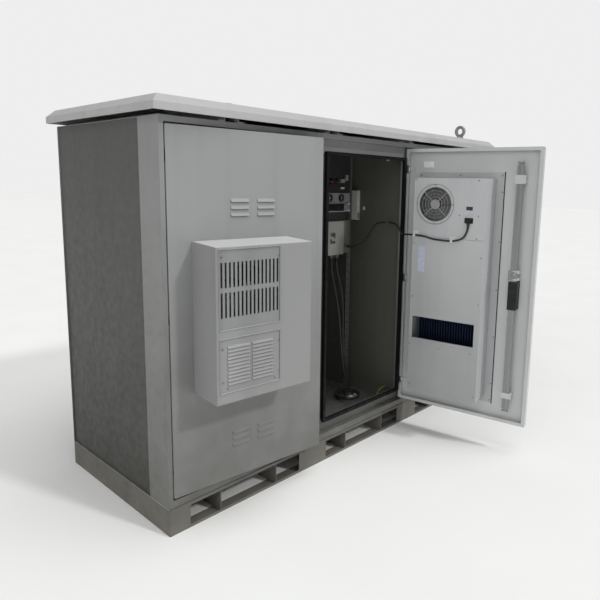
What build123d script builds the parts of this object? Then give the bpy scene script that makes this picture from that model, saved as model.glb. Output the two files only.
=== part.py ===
from build123d import *
import math
import os

os.makedirs("parts", exist_ok=True)

# Outdoor electrical cabinet with three bays under one roof.
# Millimetres, +Z up, +X along the front to the right, front face towards -Y.
# The origin is at floor level in the centre of the four anchor holes.
# Each door and what it carries is drawn closed, hinged on the left, with x from
# the bay's middle and y from the cabinet's front face, and is then placed.

# Overall sizes
BAY_WIDTH = 800.0
BAY_COUNT = 3
FRAME_DEPTH = 870.0
PLINTH_HEIGHT = 112.0
BODY_TOP = 1632.0
SHEET = 2.0
PLATE = 3.0
WIDTH = BAY_WIDTH * BAY_COUNT
HALF = WIDTH / 2
FRONT = -FRAME_DEPTH / 2
BACK = FRAME_DEPTH / 2
FLOOR_TOP = PLINTH_HEIGHT + SHEET
CEILING = BODY_TOP - SHEET
BAYS = [BAY_WIDTH * (i - (BAY_COUNT - 1) / 2) for i in range(BAY_COUNT)]

# Plinth
PLINTH_PROUD = 4.0
FLANGE = 60.0
FOOT_WIDTH = 94.0
SLOT_LOW = 12.0
SLOT_HIGH = 98.0
WEB_OFFSET = 156.0
ANCHOR_INSET_X = 47.0
ANCHOR_INSET_Y = 30.0
ANCHOR_R = 9.0

# Roof
ROOF_GAP = 9.0
FASCIA_HEIGHT = 28.0
ROOF_SLOPE = 30.0
ROOF_FRONT = 51.0
ROOF_SIDE = 46.0
RAIL_WIDTH = 70.0
RAIL_FOOT = 25.0
RAIL_X = 890.0
EYE_R = 35.0
EYE_HOLE_R = 18.0
EYE_THICK = 16.0
EYE_ROUND = 3.5
EYE_SHANK_R = 10.0
EYE_COLLAR_R = 21.0
EYE_COLLAR = 9.0
EYE_FRONT_INSET = 8.0
EYE_BACK_INSET = 50.0
EYE_SINK = 2.0
NUT_R = 18.0
NUT_HEIGHT = 16.0
HOLE_CLEAR = 0.3

# Front frame and door rebates
STRIP = 20.0
SILL = 31.0
HEADER = 23.0
DOOR_GAP = 7.0
LANDING_DEPTH = 34.0
UPSTAND_DEPTH = 12.0
CORNER_R = 6.0
SEAL_INSET = 50.0
SEAL_WIDTH = 16.0
SEAL_DEPTH = 20.0
SEAL_PRESS_GAP = 0.3
SLIT = 0.2

# Walls and covers
POST_BAND = 145.0
POST_RETURN = 22.0
PANEL_RECESS = 6.0
PANEL_FLANGE = 15.0
PARTITION_WIDTH = 110.0
PARTITION_BACK_GAP = 60.0
REAR_STRIP = 40.0
REAR_FLANGE = 25.0
COVER_PROUD = 30.0
COVER_LAP = 18.0

# Doors
DOOR_DEPTH = 28.0
DOOR_LIP = 18.0
PIN_INSET = 12.0
PIN_DEPTH = 10.0
PIN_R = 4.0
RUNNING_GAP = 0.05
KNUCKLE_R = 7.0
KNUCKLE_HALF = 9.0
EAR_LOW = 10.0
EAR_HIGH = 16.0
BRACKET_HALF = 20.0
BRACKET_THICK = 6.0
BRACKET_OUT = 4.0
BRACKET_IN = 29.0
NOTCH_HALF = 22.0
STRAP_THICK = 4.0
STRAP_REACH = 35.0
LEG_IN = 3.5
PIN_HEAD_R = 6.0
PIN_HEAD = 2.0
HINGE_SPREAD = 615.0
LEFT_ANGLE = -6.0
MIDDLE_ANGLE = 99.0

# Louvres pressed in the doors
LOUVRE_X = 63.0
LOUVRE_WIDTH = 84.0
LOUVRE_HEIGHT = 14.0
LOUVRE_PROUD = 7.0
LOUVRE_PITCH = 28.0
LOUVRE_ROWS = 3
LOUVRE_HIGH_Z = 1299.0
LOUVRE_LOW_Z = 326.0
LOUVRE_SKIN = 1.5

# Latch
LATCH_INSET = 103.0
LATCH_Z = 848.0
ROD_TRAVEL = 22.0
CAM_PIN_R = 3.0
CAM_R = 20.0
CAM_THICK = 4.0
ROD_WIDTH = 34.0
ROD_DEPTH = 10.0
ROD_FRONT = 40.0
ROD_SKIN = 2.0
ROD_TOP = 1552.0
ROD_BOTTOM = 198.0
ROD_CLEAR = 0.5
SLOT_CLEAR = 0.65
BASE_WIDTH = 46.0
BASE_LOW = 774.0
BASE_HIGH = 922.0
BASE_PROUD = 10.0
BASE_WALL = 2.0
BASE_FLOOR = 24.0
BASE_CORNER = 10.0
BASE_BEVEL = 3.0
NECK_SIDE = 4.0
NECK_END = 6.0
SPINDLE_R = 8.0
COLLAR_WALL = 4.0
CAM_GAP = 2.0
LEVER_WIDTH = 26.0
LEVER_CLEAR = 8.0
LEVER_ROUND = 4.0
LEVER_THICK = 14.0
LEVER_GAP = 10.0
ROLLER_R = 6.0
ROLLER_WIDTH = 7.0
ROLLER_X = 12.5
TONGUE_WIDTH = 16.0
TONGUE_PAST = 3.0
TONGUE_ROOT = 8.0
ROLLER_GAP = 1.0
GUIDE_WIDTH = 50.0
GUIDE_WALL = 5.0
UPPER_GUIDE_Z = (1419.0, 1463.0)
MIDDLE_GUIDE_Z = (930.0, 980.0)
LOWER_GUIDE_Z = (296.0, 325.0)

# Hood on the left door
HOOD_LEFT = -276.0
HOOD_RIGHT = 170.0
HOOD_LOW = 566.0
HOOD_HIGH = 1172.0
HOOD_DEPTH = 178.0
HOOD_DROP = 7.0
HOOD_R = 5.0
WINDOW_LEFT = -262.0
WINDOW_RIGHT = 7.0
GRILLE_LOW = 855.0
GRILLE_HIGH = 1154.0
GRILLE_LAP = 5.0
GRILLE_COLUMNS = 15
GRILLE_PITCH = 17.8
GRILLE_SLOT = 8.0
GRILLE_ROWS = ((900.0, 995.0), (1013.0, 1107.0))
PANEL_LOW = 612.0
PANEL_HIGH = 818.0
SCOOP_WIDTH = 97.0
SCOOP_GAP = 11.0
SCOOP_ROWS = 11
SCOOP_PITCH = 14.2
SCOOP_HEIGHT = 10.0
SCOOP_PROUD = 6.0
SCOOP_LOW_Z = 640.0
HOOD_FAN_Z = 1004.0
HOOD_FAN_R = 88.0
HOOD_FAN_DEPTH = 40.0
HOOD_FAN_BLADES = 7
BRIDGE_GAP = 6.0
BRIDGE_THICK = 3.0
BRIDGE_END = 6.0
BLADE_PITCH = 32.0
BLADE_THICK = 2.2
BLADE_SHARE = 0.95

# Heat exchanger on the middle door, x towards the door's free side
UNIT_LEFT = -258.0
UNIT_RIGHT = 140.0
UNIT_LOW = 269.0
UNIT_HIGH = 1442.0
UNIT_DEPTH = 150.0
UNIT_FLANGE = 40.0
UNIT_FLANGE_END = 33.0
COVER_SEAM = 1129.0
COVER_TURN = 14.0
COVER_GAP = 1.0
VENT_LEFT = -240.0
VENT_RIGHT = 112.0
VENT_LOW = 570.0
VENT_HIGH = 690.0
VENT_LIP = 18.0
UNIT_FAN_X = -135.0
UNIT_FAN_Z = 1305.0
UNIT_FAN_R = 88.0
GUARD_R = 106.0
GUARD_RINGS = 4
GUARD_WIRE = 2.4
FAN_BLADES = 7
FAN_DEPTH = 28.0
STATOR_R = 22.0
HUB_WALL = 4.0
CORE_DEPTH = 90.0
CORE_FINS = 22
CORE_PITCH = 15.0
FIN_THICK = 2.0
CORE_DROP = 180.0
CORE_RISE = 40.0
CORE_BASE = 6.0
SHELF_RISE = 60.0
VENT_LIP_PROUD = 9.0
SOCKET_X = 53.5
SOCKET_Z = 1228.0
SOCKET_WIDTH = 45.0
SOCKET_HEIGHT = 28.0
DISPLAY_Z = 1290.0
DISPLAY_WIDTH = 35.0
DISPLAY_HEIGHT = 19.0
DISPLAY_SINK = 0.8
SOCKET_RIM = 4.0
SOCKET_SINK = 12.0
PLUG_INSET = 6.0
PLUG_PROUD = 16.0
COVER_CUT = 20.0

# Equipment rack in the middle bay, its panels stacked down from the ceiling
RACK_DEPTH = 350.0
RACK_HALF = 241.3
RACK_HEADROOM = 40.0
RACK_GAP = 2.0
POST_INNER = 226.0
POST_OUTER = 262.0
POST_SIDE = 40.0
POST_HOLE = 9.0
POST_HOLE_PITCH = 44.45
POST_HOLE_INSET = 14.0
PANEL_THICK = 3.0
CHASSIS_HALF = POST_INNER - 4.0
BREAKER_HEIGHT = 239.0
BREAKER_DEPTH = 90.0
TRAY_HEIGHT = 55.0
TRAY_DEPTH = 70.0
UNIT_BOX_HEIGHT = 51.0
UNIT_BOX_DEPTH = 240.0
UNIT_WINDOW = (-180.0, 170.0)
UNIT_LATCH = (196.0, 216.0)
UNIT_LATCH_PROUD = 7.0
BLANK_HEIGHT = 48.0
BLANK_TURN = 14.0
DIST_HEIGHT = 192.0
DIST_LEFT = -150.0
DIST_RIGHT = 152.0
DIST_FRONT = 310.0
DIST_BACK = 470.0
BREAKER_HIGH = CEILING - RACK_HEADROOM
BREAKER_LOW = BREAKER_HIGH - BREAKER_HEIGHT
TRAY_HIGH = BREAKER_LOW - RACK_GAP
TRAY_LOW = TRAY_HIGH - TRAY_HEIGHT
UNIT_BOX_HIGH = TRAY_LOW - RACK_GAP
UNIT_BOX_LOW = UNIT_BOX_HIGH - UNIT_BOX_HEIGHT
BLANK_HIGH = UNIT_BOX_LOW - RACK_GAP
BLANK_LOW = BLANK_HIGH - BLANK_HEIGHT
DIST_HIGH = BLANK_LOW - RACK_GAP
DIST_LOW = DIST_HIGH - DIST_HEIGHT
TOGGLE_Z = BREAKER_LOW + 67.0
TOGGLE_X = (72.0, 118.0)
TOGGLE_WIDTH = 30.0
TOGGLE_SIDE = 2.0
TOGGLE_WELL = 16.0
TOGGLE_CHEEK = 2.0
TOGGLE_HUB_R = 6.0
TOGGLE_PIN_R = 2.5
TOGGLE_LENGTH = 22.0
TOGGLE_ROOT = 5.0
TOGGLE_TIP = 3.0
TOGGLE_REST = 115.0
TOGGLE_SINK = 6.0
TRAY_FAN_X = (66.0, 165.0)
TRAY_FAN_Z = (TRAY_LOW + TRAY_HIGH) / 2
TRAY_FAN_R = 21.0
TRAY_FAN_CLEAR = 2.0
TRAY_FAN_DEPTH = 16.0
TRAY_FAN_BLADES = 5
TRAY_STATOR_R = 6.0
SWITCH_X = 59.0
SWITCH_Z = DIST_LOW + 98.0
SWITCH_WELL = (22.0, 31.0)
SWITCH_WELL_PROUD = 24.0
SWITCH_SINK = 13.0
SWITCH_HUB_R = 8.0
SWITCH_PIN_R = 3.0
SWITCH_LENGTH = 26.0
SWITCH_ROOT = 6.0
SWITCH_TIP = 4.0
SWITCH_HALF = 17.0
SWITCH_REST = 125.0
DUCT_WIDTH = 26.0
DUCT_DEPTH = (356.0, 402.0)
DUCT_HEIGHT = 175.0

# Box cables: across and in depth from the cabinet's face, then the share of the height
CABLE_R = 7.0
GLAND_HEIGHT = 22.0
CABLE_HEADS = ((130.0, FRONT + 345.0), (92.0, FRONT + 350.0))
CABLE_FEET = ((214.0, FRONT + 300.0), (168.0, FRONT + 280.0))
CABLE_STRAIGHT = (0.93, 0.085)
CABLE_ROUTES = (
    (
        (150.0, 335.0, 0.835),
        (165.0, 324.0, 0.725),
        (168.0, 318.0, 0.62),
        (166.0, 314.0, 0.505),
        (163.0, 310.0, 0.39),
        (170.0, 306.0, 0.28),
        (190.0, 302.0, 0.18),
    ),
    (
        (98.0, 334.0, 0.825),
        (112.0, 320.0, 0.715),
        (121.0, 308.0, 0.605),
        (124.0, 299.0, 0.49),
        (128.0, 292.0, 0.375),
        (138.0, 287.0, 0.27),
        (152.0, 283.0, 0.17),
    ),
)

# Lead from the rack over the hinge to the unit on the middle door
LEAD_R = 5.0
LEAD_PROUD = 9.0
LEAD_WALL_GAP = 49.0
LEAD_CLIP_NEAR = 100.0
LEAD_CLIP_RISE = 52.0
LEAD_GLAND_X = 206.0
LEAD_GLAND_Z = DIST_LOW + 41.0
LEAD_GLAND_LENGTH = 20.0
LEAD_END_X = -250.0
LEAD_END_Z = 1138.0
CLIP_WIDTH = 12.0
CLIP_HALF = 9.0
CLIP_WALL = 2.5
SECOND_CLIP_X = -37.0

# Earth wire from the floor to the partition
EARTH_R = 3.0
EARTH_X = 255.0
EARTH_DEPTH = 110.0
STUD_R = 7.0
STUD_HEIGHT = 16.0

# Cable cut-outs in the floor of the outer bays
CUT_HALF = 200.0
CUT_FROM_BACK = (130.0, 230.0)


def between(low_u, high_u, low_v, high_v, corner=0.0):
    """Rectangle between two corners, with round corners where asked."""
    width = high_u - low_u
    height = high_v - low_v
    shape = RectangleRounded(width, height, corner) if corner > 0 else Rectangle(width, height)
    return Pos((low_u + high_u) / 2, (low_v + high_v) / 2) * shape


def outline(*points):
    """Closed straight-sided outline."""
    return make_face(Polyline(*points, close=True))


def slab_x(sketch, low, high):
    """Sketch drawn as (y, z), made solid from x low to x high."""
    plane = Plane(origin=(low, 0, 0), x_dir=(0, 1, 0), z_dir=(1, 0, 0))
    return extrude(plane * sketch, amount=high - low)


def slab_y(sketch, low, high):
    """Sketch drawn as (x, z), made solid from y low to y high."""
    plane = Plane(origin=(0, high, 0), x_dir=(1, 0, 0), z_dir=(0, -1, 0))
    return extrude(plane * sketch, amount=high - low)


def slab_z(sketch, low, high):
    """Sketch drawn as (x, y), made solid from z low to z high."""
    return extrude(Plane.XY.offset(low) * sketch, amount=high - low)


def rod_x(radius, y, z, low, high):
    return slab_x(Pos(y, z) * Circle(radius), low, high)


def rod_y(radius, x, z, low, high):
    return slab_y(Pos(x, z) * Circle(radius), low, high)


def rod_z(radius, x, y, low, high):
    return slab_z(Pos(x, y) * Circle(radius), low, high)


def save(name, shape):
    """Write one named piece or group of like pieces."""
    export_step(Compound(children=list(shape.solids())) if len(shape.solids()) > 1 else shape.solids()[0],
                f"parts/{name}.step")


def group(shapes):
    """Several separate solids kept as one node."""
    return Compound(children=[solid for shape in shapes for solid in shape.solids()])


def cord(name, points, radius):
    """Tube along straight runs joined by the largest tangent arcs that fit."""
    corners = [Vector(*p) for p in points]
    radii = []
    for before, corner, after in zip(corners, corners[1:], corners[2:]):
        turn = (corner - before).get_angle(after - corner)
        run = min((corner - before).length, (after - corner).length)
        radii.append(0.45 * run / math.tan(math.radians(turn) / 2))
    print(name, "bend radii", [round(r, 1) for r in radii])
    path = FilletPolyline(*points, radius=radii)
    start = Plane(origin=path @ 0, z_dir=path % 0)
    return sweep(start * Circle(radius), path=path)


# Door outline and bay aperture, from the bay's middle
APERTURE_HALF = BAY_WIDTH / 2 - STRIP
APERTURE_LOW = PLINTH_HEIGHT + SILL
APERTURE_HIGH = BODY_TOP - HEADER
DOOR_HALF = APERTURE_HALF - DOOR_GAP
DOOR_LOW = APERTURE_LOW + DOOR_GAP
DOOR_HIGH = APERTURE_HIGH - DOOR_GAP
LATCH_X = DOOR_HALF - LATCH_INSET
LEVER_LENGTH = LATCH_X - HOOD_RIGHT - LEVER_CLEAR
DOOR_MID_Z = (DOOR_LOW + DOOR_HIGH) / 2
PIN_X = DOOR_HALF - PIN_INSET
HINGE_ZS = (DOOR_MID_Z - HINGE_SPREAD, DOOR_MID_Z, DOOR_MID_Z + HINGE_SPREAD)
WALL_X = BAY_WIDTH / 2 - PARTITION_WIDTH / 2
LEAD_X = WALL_X - LEAD_WALL_GAP
LEAD_CLIP_Z = LEAD_END_Z + LEAD_CLIP_RISE
LEAD_DEPTH = UNIT_DEPTH + LEAD_PROUD
SEAL_MID = SEAL_INSET + SEAL_WIDTH / 2
UPSTAND_OUT = SEAL_MID - SHEET / 2
UPSTAND_IN = SEAL_MID + SHEET / 2


def door_outline(inset, corner=CORNER_R):
    """Outline parallel to the door's edge, so far inside it."""
    return between(-DOOR_HALF + inset, DOOR_HALF - inset, DOOR_LOW + inset, DOOR_HIGH - inset, corner)


def ring(outer, inner):
    return door_outline(outer) - door_outline(inner)


# Plinth: folded channel ring with fork slots front and back and webs between them
def make_plinth():
    front = FRONT - PLINTH_PROUD
    outer = between(-HALF, HALF, front, BACK)
    inner = between(-HALF + PLATE, HALF - PLATE, front + PLATE, BACK - PLATE)
    wall = slab_z(outer - inner, 0, PLINTH_HEIGHT)
    rim = outer - between(-HALF + FLANGE, HALF - FLANGE, front + FLANGE, BACK - FLANGE)
    body = wall + slab_z(rim, 0, PLATE) + slab_z(rim, PLINTH_HEIGHT - PLATE, PLINTH_HEIGHT)
    slots = []
    for bay in BAYS:
        half = BAY_WIDTH / 2 - FOOT_WIDTH
        slot = between(bay - half, bay + half, SLOT_LOW, SLOT_HIGH, CORNER_R)
        slots.append(slab_y(slot, front - 1, BACK + 1))
    body = body - slots
    stations = [bay + side * WEB_OFFSET for bay in BAYS for side in (-1, 1)]
    stations += [(a + b) / 2 for a, b in zip(BAYS, BAYS[1:])]
    web = between(front, BACK, 0, PLINTH_HEIGHT - PLATE)
    webs = [slab_x(web, x - PLATE / 2, x + PLATE / 2) for x in stations]
    body = body + webs
    anchors = [
        rod_z(ANCHOR_R, x * (HALF - ANCHOR_INSET_X), y * (BACK - ANCHOR_INSET_Y), -1, PLATE + 1)
        for x in (-1, 1)
        for y in (-1, 1)
    ]
    return body - anchors


# Floor plate with a cable cut-out behind in the outer bays, glands and an earth stud in the middle one
def make_floor_plate():
    plate = slab_z(between(-HALF, HALF, FRONT + SHEET, BACK - SHEET), PLINTH_HEIGHT, FLOOR_TOP)
    near, far = CUT_FROM_BACK
    cuts = [
        slab_z(
            between(bay - CUT_HALF, bay + CUT_HALF, BACK - far, BACK - near, CORNER_R),
            PLINTH_HEIGHT - 1,
            FLOOR_TOP + 1,
        )
        for bay in (BAYS[0], BAYS[-1])
    ]
    glands = [rod_z(CABLE_R * 2, x, y, FLOOR_TOP, FLOOR_TOP + GLAND_HEIGHT) for x, y in CABLE_FEET]
    stud = rod_z(STUD_R, EARTH_X, FRONT + EARTH_DEPTH, FLOOR_TOP, FLOOR_TOP + STUD_HEIGHT)
    return plate - cuts + glands + stud


# Front frame: face sheet, rebate walls, landings and the upstands that hold the seals
def make_front_frame():
    face = between(-HALF, HALF, PLINTH_HEIGHT, BODY_TOP)
    aperture = between(-APERTURE_HALF, APERTURE_HALF, APERTURE_LOW, APERTURE_HIGH, CORNER_R)
    walled = between(
        -APERTURE_HALF - SHEET,
        APERTURE_HALF + SHEET,
        APERTURE_LOW - SHEET,
        APERTURE_HIGH + SHEET,
        CORNER_R + SHEET,
    )
    for bay in BAYS:
        face = face - Pos(bay, 0) * aperture
    frame = slab_y(face, 0, SHEET)
    back = LANDING_DEPTH + SHEET
    rebates = []
    for bay in BAYS:
        rebate = slab_y(walled - aperture, 0, back)
        landing = slab_y(walled - door_outline(UPSTAND_IN), LANDING_DEPTH, back)
        upstand = slab_y(ring(UPSTAND_OUT, UPSTAND_IN), UPSTAND_DEPTH, back)
        rebates.append(Pos(bay, 0, 0) * (rebate + landing + upstand))
    return Pos(0, FRONT, 0) * (frame + rebates)


# Front corner posts, folded round the side band with a return for the side panel
def make_corner_posts():
    inner = APERTURE_HALF + SHEET + BAYS[-1]
    band = between(HALF - SHEET, HALF, SHEET, POST_BAND)
    front_leg = between(inner + HOLE_CLEAR, HALF, SHEET, 2 * SHEET)
    back_leg = between(HALF - POST_RETURN, HALF, POST_BAND - SHEET, POST_BAND)
    post = Pos(0, FRONT, 0) * slab_z(band + front_leg + back_leg, FLOOR_TOP, CEILING)
    return group([post, mirror(post, about=Plane.YZ)])


# Side panels, shallow pans set back from the corner posts' bands
def make_side_panels():
    outer = HALF - PANEL_RECESS
    face = between(FRONT + POST_BAND, BACK - SHEET, FLOOR_TOP, CEILING, CORNER_R)
    inside = between(
        FRONT + POST_BAND + SHEET, BACK - 2 * SHEET, FLOOR_TOP + SHEET, CEILING - SHEET, CORNER_R - SHEET
    )
    pan = slab_x(face, outer - PANEL_FLANGE, outer) - slab_x(inside, outer - PANEL_FLANGE - 1, outer - SHEET)
    return group([pan, mirror(pan, about=Plane.YZ)])


# Rear frame with three service openings and stiffening flanges round them
def rear_opening(grow):
    half = BAY_WIDTH / 2 - REAR_STRIP + grow
    low = PLINTH_HEIGHT + REAR_STRIP - grow
    return between(-half, half, low, BODY_TOP - REAR_STRIP + grow, CORNER_R + grow)


def make_rear_frame():
    face = between(-HALF, HALF, PLINTH_HEIGHT, BODY_TOP)
    flanges = []
    for bay in BAYS:
        face = face - Pos(bay, 0) * rear_opening(0)
        rim = rear_opening(SHEET) - rear_opening(0)
        flanges.append(Pos(bay, 0, 0) * slab_y(rim, BACK - REAR_FLANGE, BACK - SHEET))
    return slab_y(face, BACK - SHEET, BACK) + flanges


# Rear covers: pans that stand proud of the frame and lap over each opening
def make_rear_covers():
    covers = []
    outer = rear_opening(COVER_LAP)
    inner = rear_opening(COVER_LAP - SHEET)
    pan = slab_y(outer, BACK, BACK + COVER_PROUD) - slab_y(inner, BACK - 1, BACK + COVER_PROUD - SHEET)
    for bay in BAYS:
        covers.append(Pos(bay, 0, 0) * pan)
    return group(covers)


# Top plate, flat under the canopy
def make_top_plate():
    return slab_z(between(-HALF, HALF, FRONT + SHEET, BACK - SHEET), CEILING, BODY_TOP)


# Roof rails: hat sections from front to back that carry the canopy and the lifting eyes
ROOF_TOP = BODY_TOP + ROOF_GAP + FASCIA_HEIGHT + ROOF_SLOPE
RAIL_TOP = ROOF_TOP - SHEET
EYES = (
    (RAIL_X, FRONT + EYE_FRONT_INSET),
    (RAIL_X, BACK - EYE_BACK_INSET),
    (-RAIL_X, BACK - EYE_BACK_INSET),
)


def make_roof_rails():
    half = RAIL_WIDTH / 2
    foot = half + RAIL_FOOT
    shape = between(-half, half, BODY_TOP, RAIL_TOP)
    shape = shape - between(-half + PLATE, half - PLATE, BODY_TOP - 1, RAIL_TOP - PLATE)
    feet = between(-foot, -half, BODY_TOP, BODY_TOP + PLATE)
    feet = feet + between(half, foot, BODY_TOP, BODY_TOP + PLATE)
    rails = []
    for x in (-RAIL_X, -RAIL_X / 3, RAIL_X / 3, RAIL_X):
        rail = Pos(x, 0, 0) * slab_y(shape + feet, FRONT - ROOF_FRONT / 3, BACK - ROOF_SLOPE - SHEET)
        for eye_x, eye_y in EYES:
            if eye_x == x:
                rail = rail + rod_z(NUT_R, eye_x, eye_y, RAIL_TOP - PLATE - NUT_HEIGHT, RAIL_TOP - PLATE)
                rail = rail - rod_z(EYE_SHANK_R + HOLE_CLEAR, eye_x, eye_y, BODY_TOP, RAIL_TOP + 1)
        rails.append(rail)
    return group(rails)


# Roof canopy: one folded shell with sloping edges, open below
def make_roof_canopy():
    low = BODY_TOP + ROOF_GAP
    shape = between(-HALF - ROOF_SIDE, HALF + ROOF_SIDE, FRONT - ROOF_FRONT, BACK)
    solid = slab_z(shape, low, ROOF_TOP)
    solid = chamfer(solid.faces().sort_by(Axis.Z)[-1].edges(), ROOF_SLOPE)
    canopy = offset(solid, amount=-SHEET, openings=solid.faces().sort_by(Axis.Z)[0])
    holes = [rod_z(EYE_SHANK_R + HOLE_CLEAR, x, y, low, ROOF_TOP + 1) for x, y in EYES]
    return canopy - holes


# Lifting eyes: forged ring, collar and shank in one
def make_lifting_eyes():
    centre_z = ROOF_TOP + EYE_COLLAR + EYE_R - EYE_SINK
    eyes = []
    for x, y in EYES:
        eye = rod_x(EYE_R, y, centre_z, x - EYE_THICK / 2, x + EYE_THICK / 2)
        eye = eye - rod_x(EYE_HOLE_R, y, centre_z, x - EYE_THICK, x + EYE_THICK)
        eye = fillet(eye.edges(), EYE_ROUND)
        eye = eye + rod_z(EYE_COLLAR_R, x, y, ROOF_TOP, ROOF_TOP + EYE_COLLAR)
        eye = eye + rod_z(EYE_SHANK_R, x, y, RAIL_TOP - PLATE - NUT_HEIGHT, ROOF_TOP)
        eyes.append(eye)
    return group(eyes)


# Partitions between the bays, hollow double walls; the right one holds the lead and the earth wire
def make_partitions():
    low = FRONT + LANDING_DEPTH + SHEET
    high = BACK - PARTITION_BACK_GAP
    half = PARTITION_WIDTH / 2
    tube = between(-half, half, low, high) - between(-half + SHEET, half - SHEET, low + SHEET, high - SHEET)
    walls = [Pos((a + b) / 2, 0, 0) * slab_z(tube, FLOOR_TOP, CEILING) for a, b in zip(BAYS, BAYS[1:])]
    near = FRONT + LEAD_CLIP_NEAR
    clip = between(LEAD_X - LEAD_R - CLIP_WALL, WALL_X, LEAD_CLIP_Z - CLIP_HALF, LEAD_CLIP_Z + CLIP_HALF)
    clip = slab_y(clip, near, near + CLIP_WIDTH)
    bore = rod_y(LEAD_R + RUNNING_GAP, LEAD_X, LEAD_CLIP_Z, near - 1, near + CLIP_WIDTH + 1)
    end = earth_points()[-1]
    stud = rod_x(STUD_R, end[1], end[2], end[0], WALL_X)
    walls[-1] = walls[-1] + (clip - bore) + stud
    return group(walls)


# Door seals, pushed over the upstands
def make_door_seals():
    face = SHEET + SEAL_PRESS_GAP
    seal = slab_y(ring(SEAL_INSET, SEAL_INSET + SEAL_WIDTH), face, SEAL_DEPTH)
    slit = slab_y(ring(UPSTAND_OUT - SLIT, UPSTAND_IN + SLIT), UPSTAND_DEPTH - SLIT, SEAL_DEPTH + 1)
    return group([Pos(bay, FRONT, 0) * (seal - slit) for bay in BAYS])


# Hinges, drawn for a door hinged on the left with the pin at x = -PIN_X
def pin_section(shape):
    return Pos(-PIN_X, PIN_DEPTH) * shape


def make_hinge_bracket(z):
    reach = LANDING_DEPTH - BRACKET_THICK - PIN_DEPTH
    arm = Circle(KNUCKLE_R) + between(-LEG_IN, KNUCKLE_R, 0, reach + 1)
    arm = pin_section(arm - Circle(PIN_R + RUNNING_GAP))
    bracket = slab_z(arm, z + EAR_LOW, z + EAR_HIGH) + slab_z(arm, z - EAR_HIGH, z - EAR_LOW)
    base = pin_section(between(-PIN_INSET - BRACKET_OUT, BRACKET_IN, reach, reach + BRACKET_THICK))
    return bracket + slab_z(base, z - BRACKET_HALF, z + BRACKET_HALF)


def make_hinge_pin(z):
    pin = rod_z(PIN_R, -PIN_X, PIN_DEPTH, z - EAR_HIGH, z + EAR_HIGH)
    top = rod_z(PIN_HEAD_R, -PIN_X, PIN_DEPTH, z + EAR_HIGH, z + EAR_HIGH + PIN_HEAD)
    clip = rod_z(PIN_HEAD_R, -PIN_X, PIN_DEPTH, z - EAR_HIGH - PIN_HEAD, z - EAR_HIGH)
    return pin + top + clip


def door_knuckle(z):
    shape = Circle(KNUCKLE_R) + between(0, STRAP_REACH, -PIN_DEPTH + SHEET, -PIN_DEPTH + SHEET + STRAP_THICK)
    return slab_z(pin_section(shape - Circle(PIN_R + RUNNING_GAP)), z - KNUCKLE_HALF, z + KNUCKLE_HALF)


# Doors
def louvre(width, height, proud, skin):
    """Pressed louvre, open below: the outside wedge and the wedge that hollows it."""
    outer = slab_x(outline((0, height), (-proud, 0), (0, 0)), -width / 2, width / 2)
    top = height - 2 * skin
    inner = outline((SHEET + 1, top), (0, top), (-proud + skin, -1), (SHEET + 1, -1))
    return outer, slab_x(inner, -width / 2 + skin, width / 2 - skin)


def door_panel():
    """Pan with turned-in lips, hinge knuckles and pressed louvres."""
    skin = slab_y(door_outline(0), 0, SHEET)
    flange = slab_y(ring(0, SHEET), 0, DOOR_DEPTH)
    lip = slab_y(ring(0, DOOR_LIP), DOOR_DEPTH - SHEET, DOOR_DEPTH)
    door = skin + flange + lip
    edge = -DOOR_HALF
    door = door - [
        slab_y(between(edge - 1, edge + DOOR_LIP + 1, z - NOTCH_HALF, z + NOTCH_HALF), SHEET, DOOR_DEPTH + 1)
        for z in HINGE_ZS
    ]
    door = door + [door_knuckle(z) for z in HINGE_ZS]
    outer, inner = louvre(LOUVRE_WIDTH, LOUVRE_HEIGHT, LOUVRE_PROUD, LOUVRE_SKIN)
    places = [
        Pos(side * LOUVRE_X, 0, mid + (row - (LOUVRE_ROWS - 1) / 2) * LOUVRE_PITCH - LOUVRE_HEIGHT / 2)
        for side in (-1, 1)
        for mid in (LOUVRE_LOW_Z, LOUVRE_HIGH_Z)
        for row in range(LOUVRE_ROWS)
    ]
    door = door + [place * outer for place in places]
    return door - [place * inner for place in places]


ROD_BACK = ROD_FRONT + ROD_DEPTH


def rod_guide(low, high):
    """Bracket on the door's skin with a window for the rod."""
    half = GUIDE_WIDTH / 2
    window = ROD_WIDTH / 2 + ROD_CLEAR
    front = ROD_FRONT - ROD_CLEAR
    back = ROD_BACK + ROD_CLEAR
    shape = between(-half, half, SHEET, back + GUIDE_WALL)
    shape = shape - between(-window, window, front, back)
    shape = shape - between(-window, window, SHEET + GUIDE_WALL, front - GUIDE_WALL)
    return Pos(LATCH_X, 0, 0) * slab_z(shape, low, high)


NECK_X = BASE_WIDTH / 2 - NECK_SIDE
NECK_LOW = BASE_LOW + NECK_END
NECK_HIGH = BASE_HIGH - NECK_END


def make_door():
    door = door_panel() + [rod_guide(*z) for z in (UPPER_GUIDE_Z, MIDDLE_GUIDE_Z, LOWER_GUIDE_Z)]
    hole = between(
        LATCH_X - NECK_X - HOLE_CLEAR,
        LATCH_X + NECK_X + HOLE_CLEAR,
        NECK_LOW - HOLE_CLEAR,
        NECK_HIGH + HOLE_CLEAR,
        CORNER_R,
    )
    return door - slab_y(hole, -1, SHEET + 0.5)


# Latch: handle base through the door, lever with cam, and two rods
PIN_ORBIT = ROD_TRAVEL / math.sqrt(2)


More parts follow.
